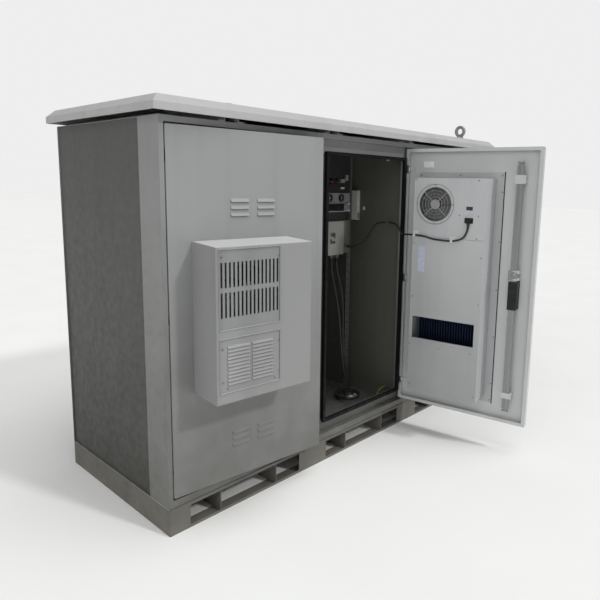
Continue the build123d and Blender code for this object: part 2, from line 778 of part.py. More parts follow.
def make_handle_base():
    half = BASE_WIDTH / 2
    plate = slab_y(between(LATCH_X - half, LATCH_X + half, BASE_LOW, BASE_HIGH, BASE_CORNER), -BASE_PROUD, 0)
    plate = chamfer(plate.faces().sort_by(Axis.Y)[0].edges(), BASE_BEVEL)
    neck = slab_y(between(LATCH_X - NECK_X, LATCH_X + NECK_X, NECK_LOW, NECK_HIGH, CORNER_R), 0, SHEET)
    case_back = ROD_BACK + ROD_CLEAR + BASE_WALL + CAM_GAP
    case = slab_y(between(LATCH_X - half, LATCH_X + half, BASE_LOW, BASE_HIGH, 4), SHEET, case_back)
    inner = half - BASE_WALL
    hollow = slab_y(
        between(LATCH_X - inner, LATCH_X + inner, BASE_LOW + BASE_WALL, BASE_HIGH - BASE_WALL, 2),
        BASE_FLOOR,
        case_back - BASE_WALL,
    )
    window = ROD_WIDTH / 2 + ROD_CLEAR
    mouth = slab_z(
        between(LATCH_X - window, LATCH_X + window, ROD_FRONT - ROD_CLEAR, ROD_BACK + ROD_CLEAR),
        BASE_LOW - 1,
        BASE_HIGH + 1,
    )
    base = plate + neck + case - hollow - mouth
    return base - rod_y(SPINDLE_R + RUNNING_GAP, LATCH_X, LATCH_Z, -BASE_PROUD - 1, BASE_FLOOR + 1)


def make_handle():
    """Lever, spindle and cam with two pins, drawn with the rods drawn in."""
    lever_front = -BASE_PROUD - LEVER_GAP - LEVER_THICK
    half = LEVER_WIDTH / 2
    grip = between(-half, half, -LEVER_LENGTH, half, half - 0.5)
    lever = slab_y(Pos(LATCH_X, LATCH_Z) * grip, lever_front, lever_front + LEVER_THICK)
    lever = fillet(lever.faces().sort_by(Axis.Y)[0].edges(), LEVER_ROUND)
    lever_back = lever_front + LEVER_THICK
    collar = rod_y(SPINDLE_R + COLLAR_WALL, LATCH_X, LATCH_Z, lever_back, -BASE_PROUD - HOLE_CLEAR)
    cam_front = BASE_FLOOR + CAM_GAP
    spindle = rod_y(SPINDLE_R, LATCH_X, LATCH_Z, lever_front + LEVER_THICK, cam_front)
    cam = rod_y(CAM_R, LATCH_X, LATCH_Z, cam_front, cam_front + CAM_THICK)
    handle = lever + collar + spindle + cam
    drop = PIN_ORBIT * math.sqrt(0.5)
    for side in (-1, 1):
        x = LATCH_X + side * drop
        handle = handle + rod_y(CAM_PIN_R, x, LATCH_Z + side * drop, cam_front + CAM_THICK, ROD_BACK + 0.3)
    return handle


def make_rod(up):
    """Channel rod drawn in; up is 1 for the upper rod and -1 for the lower."""
    tip = (ROD_TOP if up > 0 else ROD_BOTTOM) - up * ROD_TRAVEL
    half = ROD_WIDTH / 2
    inner = half - ROD_SKIN
    channel = between(-half, half, ROD_FRONT, ROD_BACK)
    channel = channel - between(-inner, inner, ROD_FRONT - 1, ROD_BACK - ROD_SKIN)
    shoulder = tip - up * 3 * ROLLER_R
    heel = LATCH_Z + up * (CAM_R + ROD_TRAVEL)
    rod = Pos(LATCH_X, 0, 0) * slab_z(channel, min(heel, shoulder), max(heel, shoulder))
    mid = PIN_ORBIT * (1 + math.sqrt(0.5)) / 2
    sweep_x = PIN_ORBIT * (1 - math.sqrt(0.5)) / 2
    slot_z = LATCH_Z - up * PIN_ORBIT * math.sqrt(0.5)
    slot_half_z = CAM_PIN_R + SLOT_CLEAR
    slot_half_x = sweep_x + CAM_PIN_R + SLOT_CLEAR
    web_in = mid - slot_half_x - 2.5
    web_out = BASE_WIDTH / 2 - BASE_WALL - ROD_CLEAR
    far = slot_z - up * (slot_half_z + 5)
    plate = between(web_in, web_out, min(far, heel), max(far, heel))
    plate = plate if up < 0 else mirror(plate, about=Plane.YZ)
    foot = between(-half, half, min(heel, heel + up), max(heel, heel + up))
    slot = Pos(-up * mid, slot_z) * Rectangle(2 * slot_half_x, 2 * slot_half_z)
    plate = Pos(LATCH_X, 0) * (plate + foot - slot)
    rod = rod + slab_y(plate, ROD_BACK - ROD_SKIN, ROD_BACK)
    tongue_half = TONGUE_WIDTH / 2
    axle_z = tip - up * ROLLER_R
    tongue = between(-tongue_half, tongue_half, ROD_FRONT, ROD_BACK)
    ends = sorted((axle_z + up * TONGUE_PAST, shoulder - up * TONGUE_ROOT))
    rod = rod + Pos(LATCH_X, 0, 0) * slab_z(tongue, *ends)
    axle_y = LANDING_DEPTH + SHEET + ROLLER_GAP + ROLLER_R
    for side in (-1, 1):
        near = LATCH_X + side * (ROLLER_X - ROLLER_WIDTH / 2)
        far_x = LATCH_X + side * (ROLLER_X + ROLLER_WIDTH / 2)
        rod = rod + rod_x(ROLLER_R, axle_y, axle_z, min(near, far_x), max(near, far_x))
    rod = rod + rod_x(CAM_PIN_R, axle_y, axle_z, LATCH_X - ROLLER_X, LATCH_X + ROLLER_X)
    return rod


# Hood on the left door: folded housing with two windows
def make_hood():
    side = outline(
        (0, HOOD_LOW), (0, HOOD_HIGH), (-HOOD_DEPTH, HOOD_HIGH - HOOD_DROP), (-HOOD_DEPTH, HOOD_LOW)
    )
    block = slab_x(side, HOOD_LEFT, HOOD_RIGHT)
    block = fillet(block.faces().sort_by(Axis.Y)[0].edges(), HOOD_R)
    hood = offset(block, amount=-SHEET, openings=block.faces().sort_by(Axis.Y)[-1])
    cuts = [
        slab_y(between(WINDOW_LEFT, WINDOW_RIGHT, low, high, CORNER_R), -HOOD_DEPTH - 1, -HOOD_DEPTH + 20)
        for low, high in ((GRILLE_LOW, GRILLE_HIGH), (PANEL_LOW, PANEL_HIGH))
    ]
    return hood - cuts


def window_plate(low, high):
    """Plate behind one of the hood's windows, lapping its edge inside."""
    face = -HOOD_DEPTH + SHEET
    left = WINDOW_LEFT - GRILLE_LAP
    shape = between(left, WINDOW_RIGHT + GRILLE_LAP, low - GRILLE_LAP, high + GRILLE_LAP, CORNER_R)
    return slab_y(shape, face, face + SHEET)


def make_hood_grille():
    plate = window_plate(GRILLE_LOW, GRILLE_HIGH)
    middle = (WINDOW_LEFT + WINDOW_RIGHT) / 2
    slots = Sketch()
    for column in range(GRILLE_COLUMNS):
        x = middle + (column - (GRILLE_COLUMNS - 1) / 2) * GRILLE_PITCH
        for low, high in GRILLE_ROWS:
            slots += between(x - GRILLE_SLOT / 2, x + GRILLE_SLOT / 2, low, high)
    plate = plate - slab_y(slots, -HOOD_DEPTH, -HOOD_DEPTH + 3 * SHEET)
    back = -HOOD_DEPTH + 2 * SHEET
    bridge = between(WINDOW_LEFT, WINDOW_RIGHT, HOOD_FAN_Z - STATOR_R / 2, HOOD_FAN_Z + STATOR_R / 2)
    bridge = slab_y(bridge, back + BRIDGE_GAP, back + BRIDGE_GAP + BRIDGE_THICK)
    half = STATOR_R / 2
    ends = [
        slab_y(between(x, x + 2 * BRIDGE_END, HOOD_FAN_Z - half, HOOD_FAN_Z + half), back, back + BRIDGE_GAP)
        for x in (WINDOW_LEFT, WINDOW_RIGHT - 2 * BRIDGE_END)
    ]
    root = back + BRIDGE_GAP + BRIDGE_THICK
    stator = rod_y(STATOR_R, middle, HOOD_FAN_Z, root, root + HOOD_FAN_DEPTH - HUB_WALL)
    return plate + bridge + ends + stator


def make_hood_louvres():
    plate = window_plate(PANEL_LOW, PANEL_HIGH)
    face = -HOOD_DEPTH + SHEET
    middle = (WINDOW_LEFT + WINDOW_RIGHT) / 2
    outer, inner = louvre(SCOOP_WIDTH, SCOOP_HEIGHT, SCOOP_PROUD, LOUVRE_SKIN)
    places = []
    for side in (-1, 1):
        for row in range(SCOOP_ROWS):
            x = middle + side * (SCOOP_WIDTH + SCOOP_GAP) / 2
            places.append(Pos(x, face, SCOOP_LOW_Z + row * SCOOP_PITCH))
    return plate + [place * outer for place in places] - [place * inner for place in places]


def make_fan(x, z, front, depth, radius, blades, stator_r):
    """Axial fan: hub cup over a fixed stator, pitched blades round it; front is its closed face."""
    hub_r = stator_r + RUNNING_GAP + HUB_WALL
    fan = rod_y(hub_r, x, z, front, front + depth)
    blade_box = Box(radius - hub_r + 2, depth * BLADE_SHARE, BLADE_THICK)
    for blade in range(blades):
        turn = 360 / blades * blade
        plate = Pos((hub_r + radius) / 2 - 1, 0, 0) * Rot(BLADE_PITCH, 0, 0) * blade_box
        fan = fan + Pos(x, front + depth / 2, z) * Rot(0, turn, 0) * plate
    return fan


def make_hood_fan():
    middle = (WINDOW_LEFT + WINDOW_RIGHT) / 2
    root = -HOOD_DEPTH + 2 * SHEET + BRIDGE_GAP + BRIDGE_THICK
    fan = make_fan(middle, HOOD_FAN_Z, root + 1, HOOD_FAN_DEPTH, HOOD_FAN_R, HOOD_FAN_BLADES, STATOR_R)
    end = root + 1 + HOOD_FAN_DEPTH - HUB_WALL
    return fan - rod_y(STATOR_R + RUNNING_GAP, middle, HOOD_FAN_Z, root - 1, end)


# Heat exchanger on the middle door
def unit_box(inset):
    return between(UNIT_LEFT + inset, UNIT_RIGHT - inset, UNIT_LOW + inset, UNIT_HIGH - inset)


def make_exchanger_housing():
    flange = between(
        UNIT_LEFT - UNIT_FLANGE,
        UNIT_RIGHT + UNIT_FLANGE,
        UNIT_LOW - UNIT_FLANGE_END,
        UNIT_HIGH + UNIT_FLANGE_END,
        CORNER_R,
    )
    rim = slab_y(flange - unit_box(SHEET), SHEET, 2 * SHEET)
    walls = slab_y(unit_box(0) - unit_box(SHEET), SHEET, UNIT_DEPTH - SHEET)
    shelf_z = VENT_HIGH + SHELF_RISE
    shelf = between(UNIT_LEFT, UNIT_RIGHT, SHEET, UNIT_DEPTH - COVER_TURN - 4)
    shelf = slab_z(shelf, shelf_z, shelf_z + SHEET)
    return rim + walls + shelf


def unit_cover(low, high):
    """Flat cover over the housing's walls, with edges turned in round them."""
    inset = SHEET + COVER_GAP / 2
    face = between(UNIT_LEFT, UNIT_RIGHT, low, high, 3)
    skin = slab_y(face, UNIT_DEPTH - SHEET, UNIT_DEPTH)
    turn = between(UNIT_LEFT + inset, UNIT_RIGHT - inset, low + inset, high - inset, 3)
    core = between(
        UNIT_LEFT + inset + SHEET, UNIT_RIGHT - inset - SHEET, low + inset + SHEET, high - inset - SHEET, 1
    )
    return skin + slab_y(turn - core, UNIT_DEPTH - SHEET - COVER_TURN, UNIT_DEPTH - SHEET)


def make_upper_cover():
    """Cover with holes for the fan and the socket and a shallow place for the display."""
    cover = unit_cover(COVER_SEAM + COVER_GAP / 2, UNIT_HIGH)
    inside = UNIT_DEPTH - COVER_CUT
    hole = rod_y(UNIT_FAN_R, UNIT_FAN_X, UNIT_FAN_Z, inside, UNIT_DEPTH + 1)
    half_x = SOCKET_WIDTH / 2 - SOCKET_RIM
    half_z = SOCKET_HEIGHT / 2 - SOCKET_RIM
    socket = between(SOCKET_X - half_x, SOCKET_X + half_x, SOCKET_Z - half_z, SOCKET_Z + half_z)
    half_x = DISPLAY_WIDTH / 2
    half_z = DISPLAY_HEIGHT / 2
    display = between(SOCKET_X - half_x, SOCKET_X + half_x, DISPLAY_Z - half_z, DISPLAY_Z + half_z, 2)
    cover = cover - hole - slab_y(socket, inside, UNIT_DEPTH + 1)
    return cover - slab_y(display, UNIT_DEPTH - DISPLAY_SINK, UNIT_DEPTH + 1)


def make_lower_cover():
    cover = unit_cover(UNIT_LOW, COVER_SEAM - COVER_GAP / 2)
    vent = between(VENT_LEFT, VENT_RIGHT, VENT_LOW, VENT_HIGH, 3)
    cover = cover - slab_y(vent, UNIT_DEPTH - COVER_CUT, UNIT_DEPTH + 1)
    lip = outline(
        (UNIT_DEPTH - SHEET, VENT_LOW - VENT_LIP),
        (UNIT_DEPTH + VENT_LIP_PROUD, VENT_LOW - 2),
        (UNIT_DEPTH + VENT_LIP_PROUD, VENT_LOW),
        (UNIT_DEPTH - SHEET, VENT_LOW),
    )
    return cover + slab_x(lip, VENT_LEFT, VENT_RIGHT)


def make_fan_guard():
    """Wire rings and spokes on a mounting ring, with the fixed stator behind."""
    front = UNIT_DEPTH
    guard = rod_y(GUARD_R, UNIT_FAN_X, UNIT_FAN_Z, front, front + 2)
    guard = guard - rod_y(UNIT_FAN_R, UNIT_FAN_X, UNIT_FAN_Z, front - 1, front + 3)
    step = (UNIT_FAN_R - STATOR_R) / GUARD_RINGS
    for index in range(1, GUARD_RINGS):
        mid = STATOR_R + step * index
        hoop = rod_y(mid + GUARD_WIRE / 2, UNIT_FAN_X, UNIT_FAN_Z, front, front + 2)
        guard = guard + (hoop - rod_y(mid - GUARD_WIRE / 2, UNIT_FAN_X, UNIT_FAN_Z, front - 1, front + 3))
    for turn in (45, 135):
        spoke = Box(2 * UNIT_FAN_R + 4, 2, GUARD_WIRE + 1)
        guard = guard + Pos(UNIT_FAN_X, front + 1, UNIT_FAN_Z) * Rot(0, turn, 0) * spoke
    guard = guard + rod_y(STATOR_R + 4, UNIT_FAN_X, UNIT_FAN_Z, front, front + 2)
    guard = guard + rod_y(STATOR_R, UNIT_FAN_X, UNIT_FAN_Z, front - 3 - FAN_DEPTH + HUB_WALL, front)
    return guard


def make_exchanger_fan():
    front = UNIT_DEPTH - 3 - FAN_DEPTH
    fan = make_fan(UNIT_FAN_X, UNIT_FAN_Z, front, FAN_DEPTH, UNIT_FAN_R - 4, FAN_BLADES, STATOR_R)
    bore = rod_y(STATOR_R + RUNNING_GAP, UNIT_FAN_X, UNIT_FAN_Z, front + HUB_WALL - 1, UNIT_DEPTH)
    return fan - bore


def make_exchanger_core():
    """Plate pack: two end plates and fins between them, standing on the skin."""
    middle = (UNIT_LEFT + UNIT_RIGHT) / 2
    half = CORE_FINS * CORE_PITCH / 2
    back = SHEET + CORE_DEPTH
    low = VENT_LOW - CORE_DROP
    high = VENT_HIGH + CORE_RISE
    base = slab_y(between(middle - half, middle + half, low, high), SHEET, SHEET + CORE_BASE)
    fins = Sketch()
    for index in range(CORE_FINS + 1):
        x = middle - half + index * CORE_PITCH
        fins += between(x - FIN_THICK / 2, x + FIN_THICK / 2, SHEET, back)
    return base + slab_z(fins, low, high)


def make_control_socket():
    """Socket rim, plug and the plug's nose, which points down to the lead."""
    half_x = SOCKET_WIDTH / 2
    half_z = SOCKET_HEIGHT / 2
    low = SOCKET_Z - half_z
    high = SOCKET_Z + half_z
    rim = slab_y(between(SOCKET_X - half_x, SOCKET_X + half_x, low, high, 4), UNIT_DEPTH, UNIT_DEPTH + 3)
    inset = SOCKET_RIM + 0.5
    body = slab_y(
        between(SOCKET_X - half_x + inset, SOCKET_X + half_x - inset, low + inset, high - inset),
        UNIT_DEPTH - SHEET - SOCKET_SINK,
        UNIT_DEPTH,
    )
    inset = PLUG_INSET
    plug = slab_y(
        between(SOCKET_X - half_x + inset, SOCKET_X + half_x - inset, low + inset, high - inset, 2),
        UNIT_DEPTH,
        UNIT_DEPTH + PLUG_PROUD,
    )
    nose = rod_z(LEAD_R + 2, SOCKET_X, LEAD_DEPTH, low, low + inset + 1)
    return rim + body + plug + nose


def door_lead_points():
    """Route of the lead over the unit's face, from the plug towards the hinge."""
    start = SOCKET_Z - SOCKET_HEIGHT / 2
    return [
        (SOCKET_X, LEAD_DEPTH, start),
        (SOCKET_X, LEAD_DEPTH, start - 56),
        (SOCKET_X - 49.5, LEAD_DEPTH, LEAD_END_Z - 18),
        (-70, LEAD_DEPTH, LEAD_END_Z - 20),
        (-140, LEAD_DEPTH, LEAD_END_Z - 16),
        (LEAD_END_X + 54, LEAD_DEPTH, LEAD_END_Z),
        (LEAD_END_X, LEAD_DEPTH, LEAD_END_Z),
    ]


def make_door_lead():
    return cord("door lead", door_lead_points(), LEAD_R)


def make_cable_clips():
    """Two saddles on the unit's face that the lead lies in."""
    bore = cord("clip bore", door_lead_points(), LEAD_R + RUNNING_GAP)
    top = LEAD_DEPTH + LEAD_R + CLIP_WALL
    clips = [
        slab_y(between(x, x + CLIP_WIDTH, z - CLIP_HALF, z + CLIP_HALF), UNIT_DEPTH, top)
        for x, z in ((LEAD_END_X, LEAD_END_Z), (SECOND_CLIP_X, LEAD_END_Z - 19))
    ]
    return group([clip - bore for clip in clips])


# Middle bay equipment, y from the cabinet's front face
def make_rack_posts():
    face = between(POST_INNER, POST_OUTER, RACK_DEPTH, RACK_DEPTH + SHEET)
    side = between(POST_OUTER - SHEET, POST_OUTER, RACK_DEPTH, RACK_DEPTH + POST_SIDE)
    post = slab_z(face + side, FLOOR_TOP, CEILING)
    count = int((CEILING - FLOOR_TOP - RACK_HEADROOM) / POST_HOLE_PITCH)
    holes = Sketch()
    for index in range(count):
        z = CEILING - RACK_HEADROOM - index * POST_HOLE_PITCH
        x = POST_INNER + POST_HOLE_INSET
        holes += between(x - POST_HOLE / 2, x + POST_HOLE / 2, z - POST_HOLE / 2, z + POST_HOLE / 2)
    post = post - slab_y(holes, RACK_DEPTH - 1, RACK_DEPTH + SHEET + 1)
    post = Pos(0, FRONT, 0) * post
    return group([post, mirror(post, about=Plane.YZ)])


def rack_panel(low, high):
    return slab_y(between(-RACK_HALF, RACK_HALF, low, high), RACK_DEPTH - PANEL_THICK, RACK_DEPTH)


def chassis(low, high, half, depth):
    """Open-backed box behind a rack panel."""
    outer = slab_y(between(-half, half, low + 1, high - 1), RACK_DEPTH, RACK_DEPTH + depth)
    inner = between(-half + SHEET, half - SHEET, low + 1 + SHEET, high - 1 - SHEET)
    return outer - slab_y(inner, RACK_DEPTH - 1, RACK_DEPTH + depth + 1)


TOGGLE_PIVOT_Y = RACK_DEPTH - PANEL_THICK + TOGGLE_SINK


def toggle_shape(hub_r, pin_r, root, tip, length):
    """Side view of a rocking lever round its cross pin, pointing up."""
    blade = outline((-root, 0), (root, 0), (tip, length), (-tip, length))
    return Circle(hub_r) + blade - Circle(pin_r + RUNNING_GAP)


def make_breaker_panel():
    """Panel with a well, side cheeks and a cross pin for each toggle."""
    panel = rack_panel(BREAKER_LOW, BREAKER_HIGH)
    panel = panel + chassis(BREAKER_LOW, BREAKER_HIGH, CHASSIS_HALF, BREAKER_DEPTH)
    face = RACK_DEPTH - PANEL_THICK
    half = TOGGLE_WIDTH / 2 + TOGGLE_SIDE
    tall = TOGGLE_WELL + TOGGLE_CHEEK
    for x in TOGGLE_X:
        well = between(x - half, x + half, TOGGLE_Z - TOGGLE_WELL, TOGGLE_Z + TOGGLE_WELL)
        panel = panel - slab_y(well, face - 1, RACK_DEPTH + 1)
        cheek = between(face, RACK_DEPTH + TOGGLE_WELL, TOGGLE_Z - tall, TOGGLE_Z + tall)
        panel = panel + slab_x(cheek, x - half - TOGGLE_CHEEK, x - half)
        panel = panel + slab_x(cheek, x + half, x + half + TOGGLE_CHEEK)
        panel = panel + rod_x(TOGGLE_PIN_R, TOGGLE_PIVOT_Y, TOGGLE_Z, x - half - 1, x + half + 1)
    return Pos(0, FRONT, 0) * panel


def make_toggle(x):
    """Toggle lever round a fixed cross pin, drawn down (off)."""
    half = TOGGLE_WIDTH / 2
    shape = toggle_shape(TOGGLE_HUB_R, TOGGLE_PIN_R, TOGGLE_ROOT, TOGGLE_TIP, TOGGLE_LENGTH)
    lever = slab_x(Pos(TOGGLE_PIVOT_Y, TOGGLE_Z) * Rot(0, 0, TOGGLE_REST) * shape, x - half, x + half)
    return Pos(0, FRONT, 0) * lever


def make_fan_tray():
    """Tray with a hole, a strut and a fixed stator for each fan."""
    tray = rack_panel(TRAY_LOW, TRAY_HIGH) + chassis(TRAY_LOW, TRAY_HIGH, CHASSIS_HALF, TRAY_DEPTH)
    face = RACK_DEPTH - PANEL_THICK
    half = TRAY_STATOR_R / 2
    for x in TRAY_FAN_X:
        tray = tray - rod_y(TRAY_FAN_R + TRAY_FAN_CLEAR, x, TRAY_FAN_Z, face - 1, RACK_DEPTH + 1)
        strut = between(x - half, x + half, TRAY_LOW + SHEET, TRAY_HIGH - SHEET)
        tray = tray + slab_y(strut, face, RACK_DEPTH - 1)
        tray = tray + rod_y(TRAY_STATOR_R, x, TRAY_FAN_Z, RACK_DEPTH - 2, RACK_DEPTH + TRAY_FAN_DEPTH - 2)
    return Pos(0, FRONT, 0) * tray


def make_tray_fan(x):
    front = RACK_DEPTH + 1
    fan = make_fan(x, TRAY_FAN_Z, front, TRAY_FAN_DEPTH, TRAY_FAN_R, TRAY_FAN_BLADES, TRAY_STATOR_R)
    bore = rod_y(TRAY_STATOR_R + RUNNING_GAP, x, TRAY_FAN_Z, front - 1, front + TRAY_FAN_DEPTH - 2.5)
    return Pos(0, FRONT, 0) * (fan - bore)


def make_control_unit():
    """Flat unit with a recessed window strip and two latches on its panel."""
    unit = rack_panel(UNIT_BOX_LOW, UNIT_BOX_HIGH)
    unit = unit + chassis(UNIT_BOX_LOW, UNIT_BOX_HIGH, CHASSIS_HALF, UNIT_BOX_DEPTH)
    low = UNIT_BOX_LOW + 8
    high = UNIT_BOX_HIGH - 8
    face = RACK_DEPTH - PANEL_THICK
    window = slab_y(between(*UNIT_WINDOW, low, high, 3), face - 1, RACK_DEPTH - PANEL_THICK / 2)
    latches = [
        slab_y(between(*UNIT_LATCH, z - 6, z + 6, 2), face - UNIT_LATCH_PROUD, face)
        for z in (low + 4, high - 4)
    ]
    return Pos(0, FRONT, 0) * (unit - window + latches)


def make_blank_panel():
    panel = rack_panel(BLANK_LOW, BLANK_HIGH)
    turns = [
        slab_y(between(-CHASSIS_HALF, CHASSIS_HALF, z, z + SHEET), RACK_DEPTH, RACK_DEPTH + BLANK_TURN)
        for z in (BLANK_LOW, BLANK_HIGH - SHEET)
    ]
    return Pos(0, FRONT, 0) * (panel + turns)


def make_distribution_box():
    """Deep box with ears on the rack, open in front for its cover."""
    box = slab_y(between(DIST_LEFT, DIST_RIGHT, DIST_LOW, DIST_HIGH), DIST_FRONT + SHEET, DIST_BACK)
    inner = between(DIST_LEFT + SHEET, DIST_RIGHT - SHEET, DIST_LOW + SHEET, DIST_HIGH - SHEET)
    box = box - slab_y(inner, DIST_FRONT, DIST_BACK - SHEET)
    ears = between(-RACK_HALF, RACK_HALF, DIST_LOW, DIST_HIGH)
    ears = ears - between(DIST_LEFT + 1, DIST_RIGHT - 1, DIST_LOW - 1, DIST_HIGH + 1)
    face = RACK_DEPTH - PANEL_THICK
    box = box + slab_y(ears, face, RACK_DEPTH)
    glands = [rod_z(CABLE_R * 2, x, y - FRONT, DIST_LOW - GLAND_HEIGHT, DIST_LOW) for x, y in CABLE_HEADS]
    glands.append(rod_y(LEAD_R * 2, LEAD_GLAND_X, LEAD_GLAND_Z, face - LEAD_GLAND_LENGTH, face))
    return Pos(0, FRONT, 0) * (box + glands)


def make_distribution_cover():
    """Flat cover with a walled well and a cross pin for the main switch."""
    face = slab_y(between(DIST_LEFT, DIST_RIGHT, DIST_LOW, DIST_HIGH, 3), DIST_FRONT, DIST_FRONT + SHEET)
    half, tall = SWITCH_WELL
    well = between(SWITCH_X - half, SWITCH_X + half, SWITCH_Z - tall, SWITCH_Z + tall, 3)
    half = half + SHEET
    tall = tall + SHEET
    wall = between(SWITCH_X - half, SWITCH_X + half, SWITCH_Z - tall, SWITCH_Z + tall, 5)
    cover = face + slab_y(wall, DIST_FRONT, DIST_FRONT + SWITCH_WELL_PROUD)
    cover = cover - slab_y(well, DIST_FRONT - 1, DIST_FRONT + SWITCH_WELL_PROUD - SHEET)
    pin = rod_x(SWITCH_PIN_R, DIST_FRONT + SWITCH_SINK, SWITCH_Z, SWITCH_X - half + 1, SWITCH_X + half - 1)
    return Pos(0, FRONT, 0) * (cover + pin)


def make_main_switch():
    """Wide lever round the cover's cross pin, drawn down (off)."""
    shape = toggle_shape(SWITCH_HUB_R, SWITCH_PIN_R, SWITCH_ROOT, SWITCH_TIP, SWITCH_LENGTH)
    shape = Pos(DIST_FRONT + SWITCH_SINK, SWITCH_Z) * Rot(0, 0, SWITCH_REST) * shape
    return Pos(0, FRONT, 0) * slab_x(shape, SWITCH_X - SWITCH_HALF, SWITCH_X + SWITCH_HALF)


def make_cable_duct():
    """Short covered duct on the partition, open at both ends."""
    near, far = DUCT_DEPTH
    shape = between(WALL_X - DUCT_WIDTH, WALL_X, near, far)
    shape = shape - between(WALL_X - DUCT_WIDTH + SHEET, WALL_X - SHEET, near + SHEET, far - SHEET)
    return Pos(0, FRONT, 0) * slab_z(shape, DIST_HIGH, DIST_HIGH + DUCT_HEIGHT)


# Cables and leads, in the cabinet's frame; their routes are chosen by hand
def box_cable(label, head, foot, route):
    """One cable from the distribution box down to the floor."""
    foot_z = FLOOR_TOP + GLAND_HEIGHT
    rise = DIST_LOW - GLAND_HEIGHT - foot_z
    high, low = CABLE_STRAIGHT
    points = [(*head, foot_z + rise), (*head, foot_z + high * rise)]
    points += [(x, FRONT + depth, foot_z + share * rise) for x, depth, share in route]
    points += [(*foot, foot_z + low * rise), (*foot, foot_z)]
    return cord(label, points, CABLE_R)


def make_box_cables():
    runs = zip(CABLE_HEADS, CABLE_FEET, CABLE_ROUTES)
    return group([box_cable(f"box cable {n}", *run) for n, run in enumerate(runs, 1)])


def make_cabinet_lead():
    """Part of the lead that stays with the cabinet, from the wall's clip to the box's gland."""
    near = FRONT + LEAD_CLIP_NEAR
    gland = FRONT + RACK_DEPTH - PANEL_THICK - LEAD_GLAND_LENGTH
    points = [
        (LEAD_X, near, LEAD_CLIP_Z),
        (LEAD_X, near + 80, LEAD_CLIP_Z),
        (LEAD_X - 14, near + 116, LEAD_CLIP_Z - 60),
        (LEAD_X - 44, near + 126, LEAD_CLIP_Z - 108),
        (LEAD_GLAND_X, gland - 65, LEAD_GLAND_Z),
        (LEAD_GLAND_X, gland, LEAD_GLAND_Z),
    ]
    return cord("cabinet lead", points, LEAD_R)


def point_on_door(x, depth, z, bay, hinge_right, angle):
    """Where a point drawn on the closed door lies when the door stands at its angle."""
    side = -1 if hinge_right else 1
    turn = math.radians(angle)
    across = side * (x + PIN_X)
    deep = depth - PIN_DEPTH
    return (
        bay - side * PIN_X + across * math.cos(turn) - deep * math.sin(turn),
        FRONT + PIN_DEPTH + across * math.sin(turn) + deep * math.cos(turn),
        z,
    )


def make_hinge_lead():
    """Part of the lead that bends over the hinge, from the wall's clip to the unit's first clip."""
    near = FRONT + LEAD_CLIP_NEAR
    points = [
        (LEAD_X, near, LEAD_CLIP_Z),
        (LEAD_X, near - 70, LEAD_CLIP_Z),
        (LEAD_X - 34, near - 120, LEAD_CLIP_Z - 62),
        point_on_door(LEAD_END_X - 55, LEAD_DEPTH, LEAD_END_Z, *DOORS["middle"]),
        point_on_door(LEAD_END_X, LEAD_DEPTH, LEAD_END_Z, *DOORS["middle"]),
    ]
    return cord("hinge lead", points, LEAD_R)


def earth_points():
    """Route of the earth wire, up from the floor's stud and across to the wall's."""
    base = FLOOR_TOP + STUD_HEIGHT
    depth = FRONT + EARTH_DEPTH
    return [
        (EARTH_X, depth, base),
        (EARTH_X, depth, base + 44),
        (EARTH_X + 28, depth - 4, base + 68),
        (WALL_X - STUD_HEIGHT, depth - 4, base + 68),
    ]


def make_earth_wire():
    return cord("earth wire", earth_points(), EARTH_R)


# Placing of what each door carries
def place(shape, bay, hinge_right, angle):
    """Move a door's piece from its drawn place to its bay and rest angle."""
    if hinge_right:
        shape = mirror(shape, about=Plane.YZ)
    pin = PIN_X if hinge_right else -PIN_X
    turn = Pos(pin, PIN_DEPTH, 0) * Rot(0, 0, angle) * Pos(-pin, -PIN_DEPTH, 0)
    return Pos(bay, FRONT, 0) * turn * shape


DOORS = {
    "left": (BAYS[0], False, LEFT_ANGLE),
    "middle": (BAYS[1], True, MIDDLE_ANGLE),
    "right": (BAYS[2], True, 0.0),
}

save("plinth", make_plinth())
save("floor_plate", make_floor_plate())
save("front_frame", make_front_frame())
save("corner_posts", make_corner_posts())
save("side_panels", make_side_panels())
save("rear_frame", make_rear_frame())
save("rear_covers", make_rear_covers())
save("top_plate", make_top_plate())
save("roof_rails", make_roof_rails())
save("roof_canopy", make_roof_canopy())
save("lifting_eyes", make_lifting_eyes())
save("partitions", make_partitions())
save("door_seals", make_door_seals())

brackets = []
pins = []
for bay, hinge_right, angle in DOORS.values():
    for z in HINGE_ZS:
        brackets.append(place(make_hinge_bracket(z), bay, hinge_right, 0))
        pins.append(place(make_hinge_pin(z), bay, hinge_right, 0))
save("hinge_brackets", group(brackets))
save("hinge_pins", group(pins))

save("rack_posts", make_rack_posts())
save("breaker_panel", make_breaker_panel())
save("fan_tray", make_fan_tray())
save("control_unit", make_control_unit())
save("blank_panel", make_blank_panel())
save("distribution_box", make_distribution_box())
save("distribution_cover", make_distribution_cover())
save("main_switch", make_main_switch())
save("cable_duct", make_cable_duct())
save("box_cables", make_box_cables())
save("cabinet_lead", make_cabinet_lead())
save("hinge_lead", make_hinge_lead())
save("earth_wire", make_earth_wire())
for index, x in enumerate(TOGGLE_X, 1):
    save(f"breaker_toggle_{index}", make_toggle(x))
for index, x in enumerate(TRAY_FAN_X, 1):
    save(f"tray_fan_{index}", make_tray_fan(x))

for name, where in DOORS.items():
    save(f"{name}_door", place(make_door(), *where))
    save(f"{name}_handle_base", place(make_handle_base(), *where))
    save(f"{name}_handle", place(make_handle(), *where))
    save(f"{name}_upper_rod", place(make_rod(1), *where))
    save(f"{name}_lower_rod", place(make_rod(-1), *where))

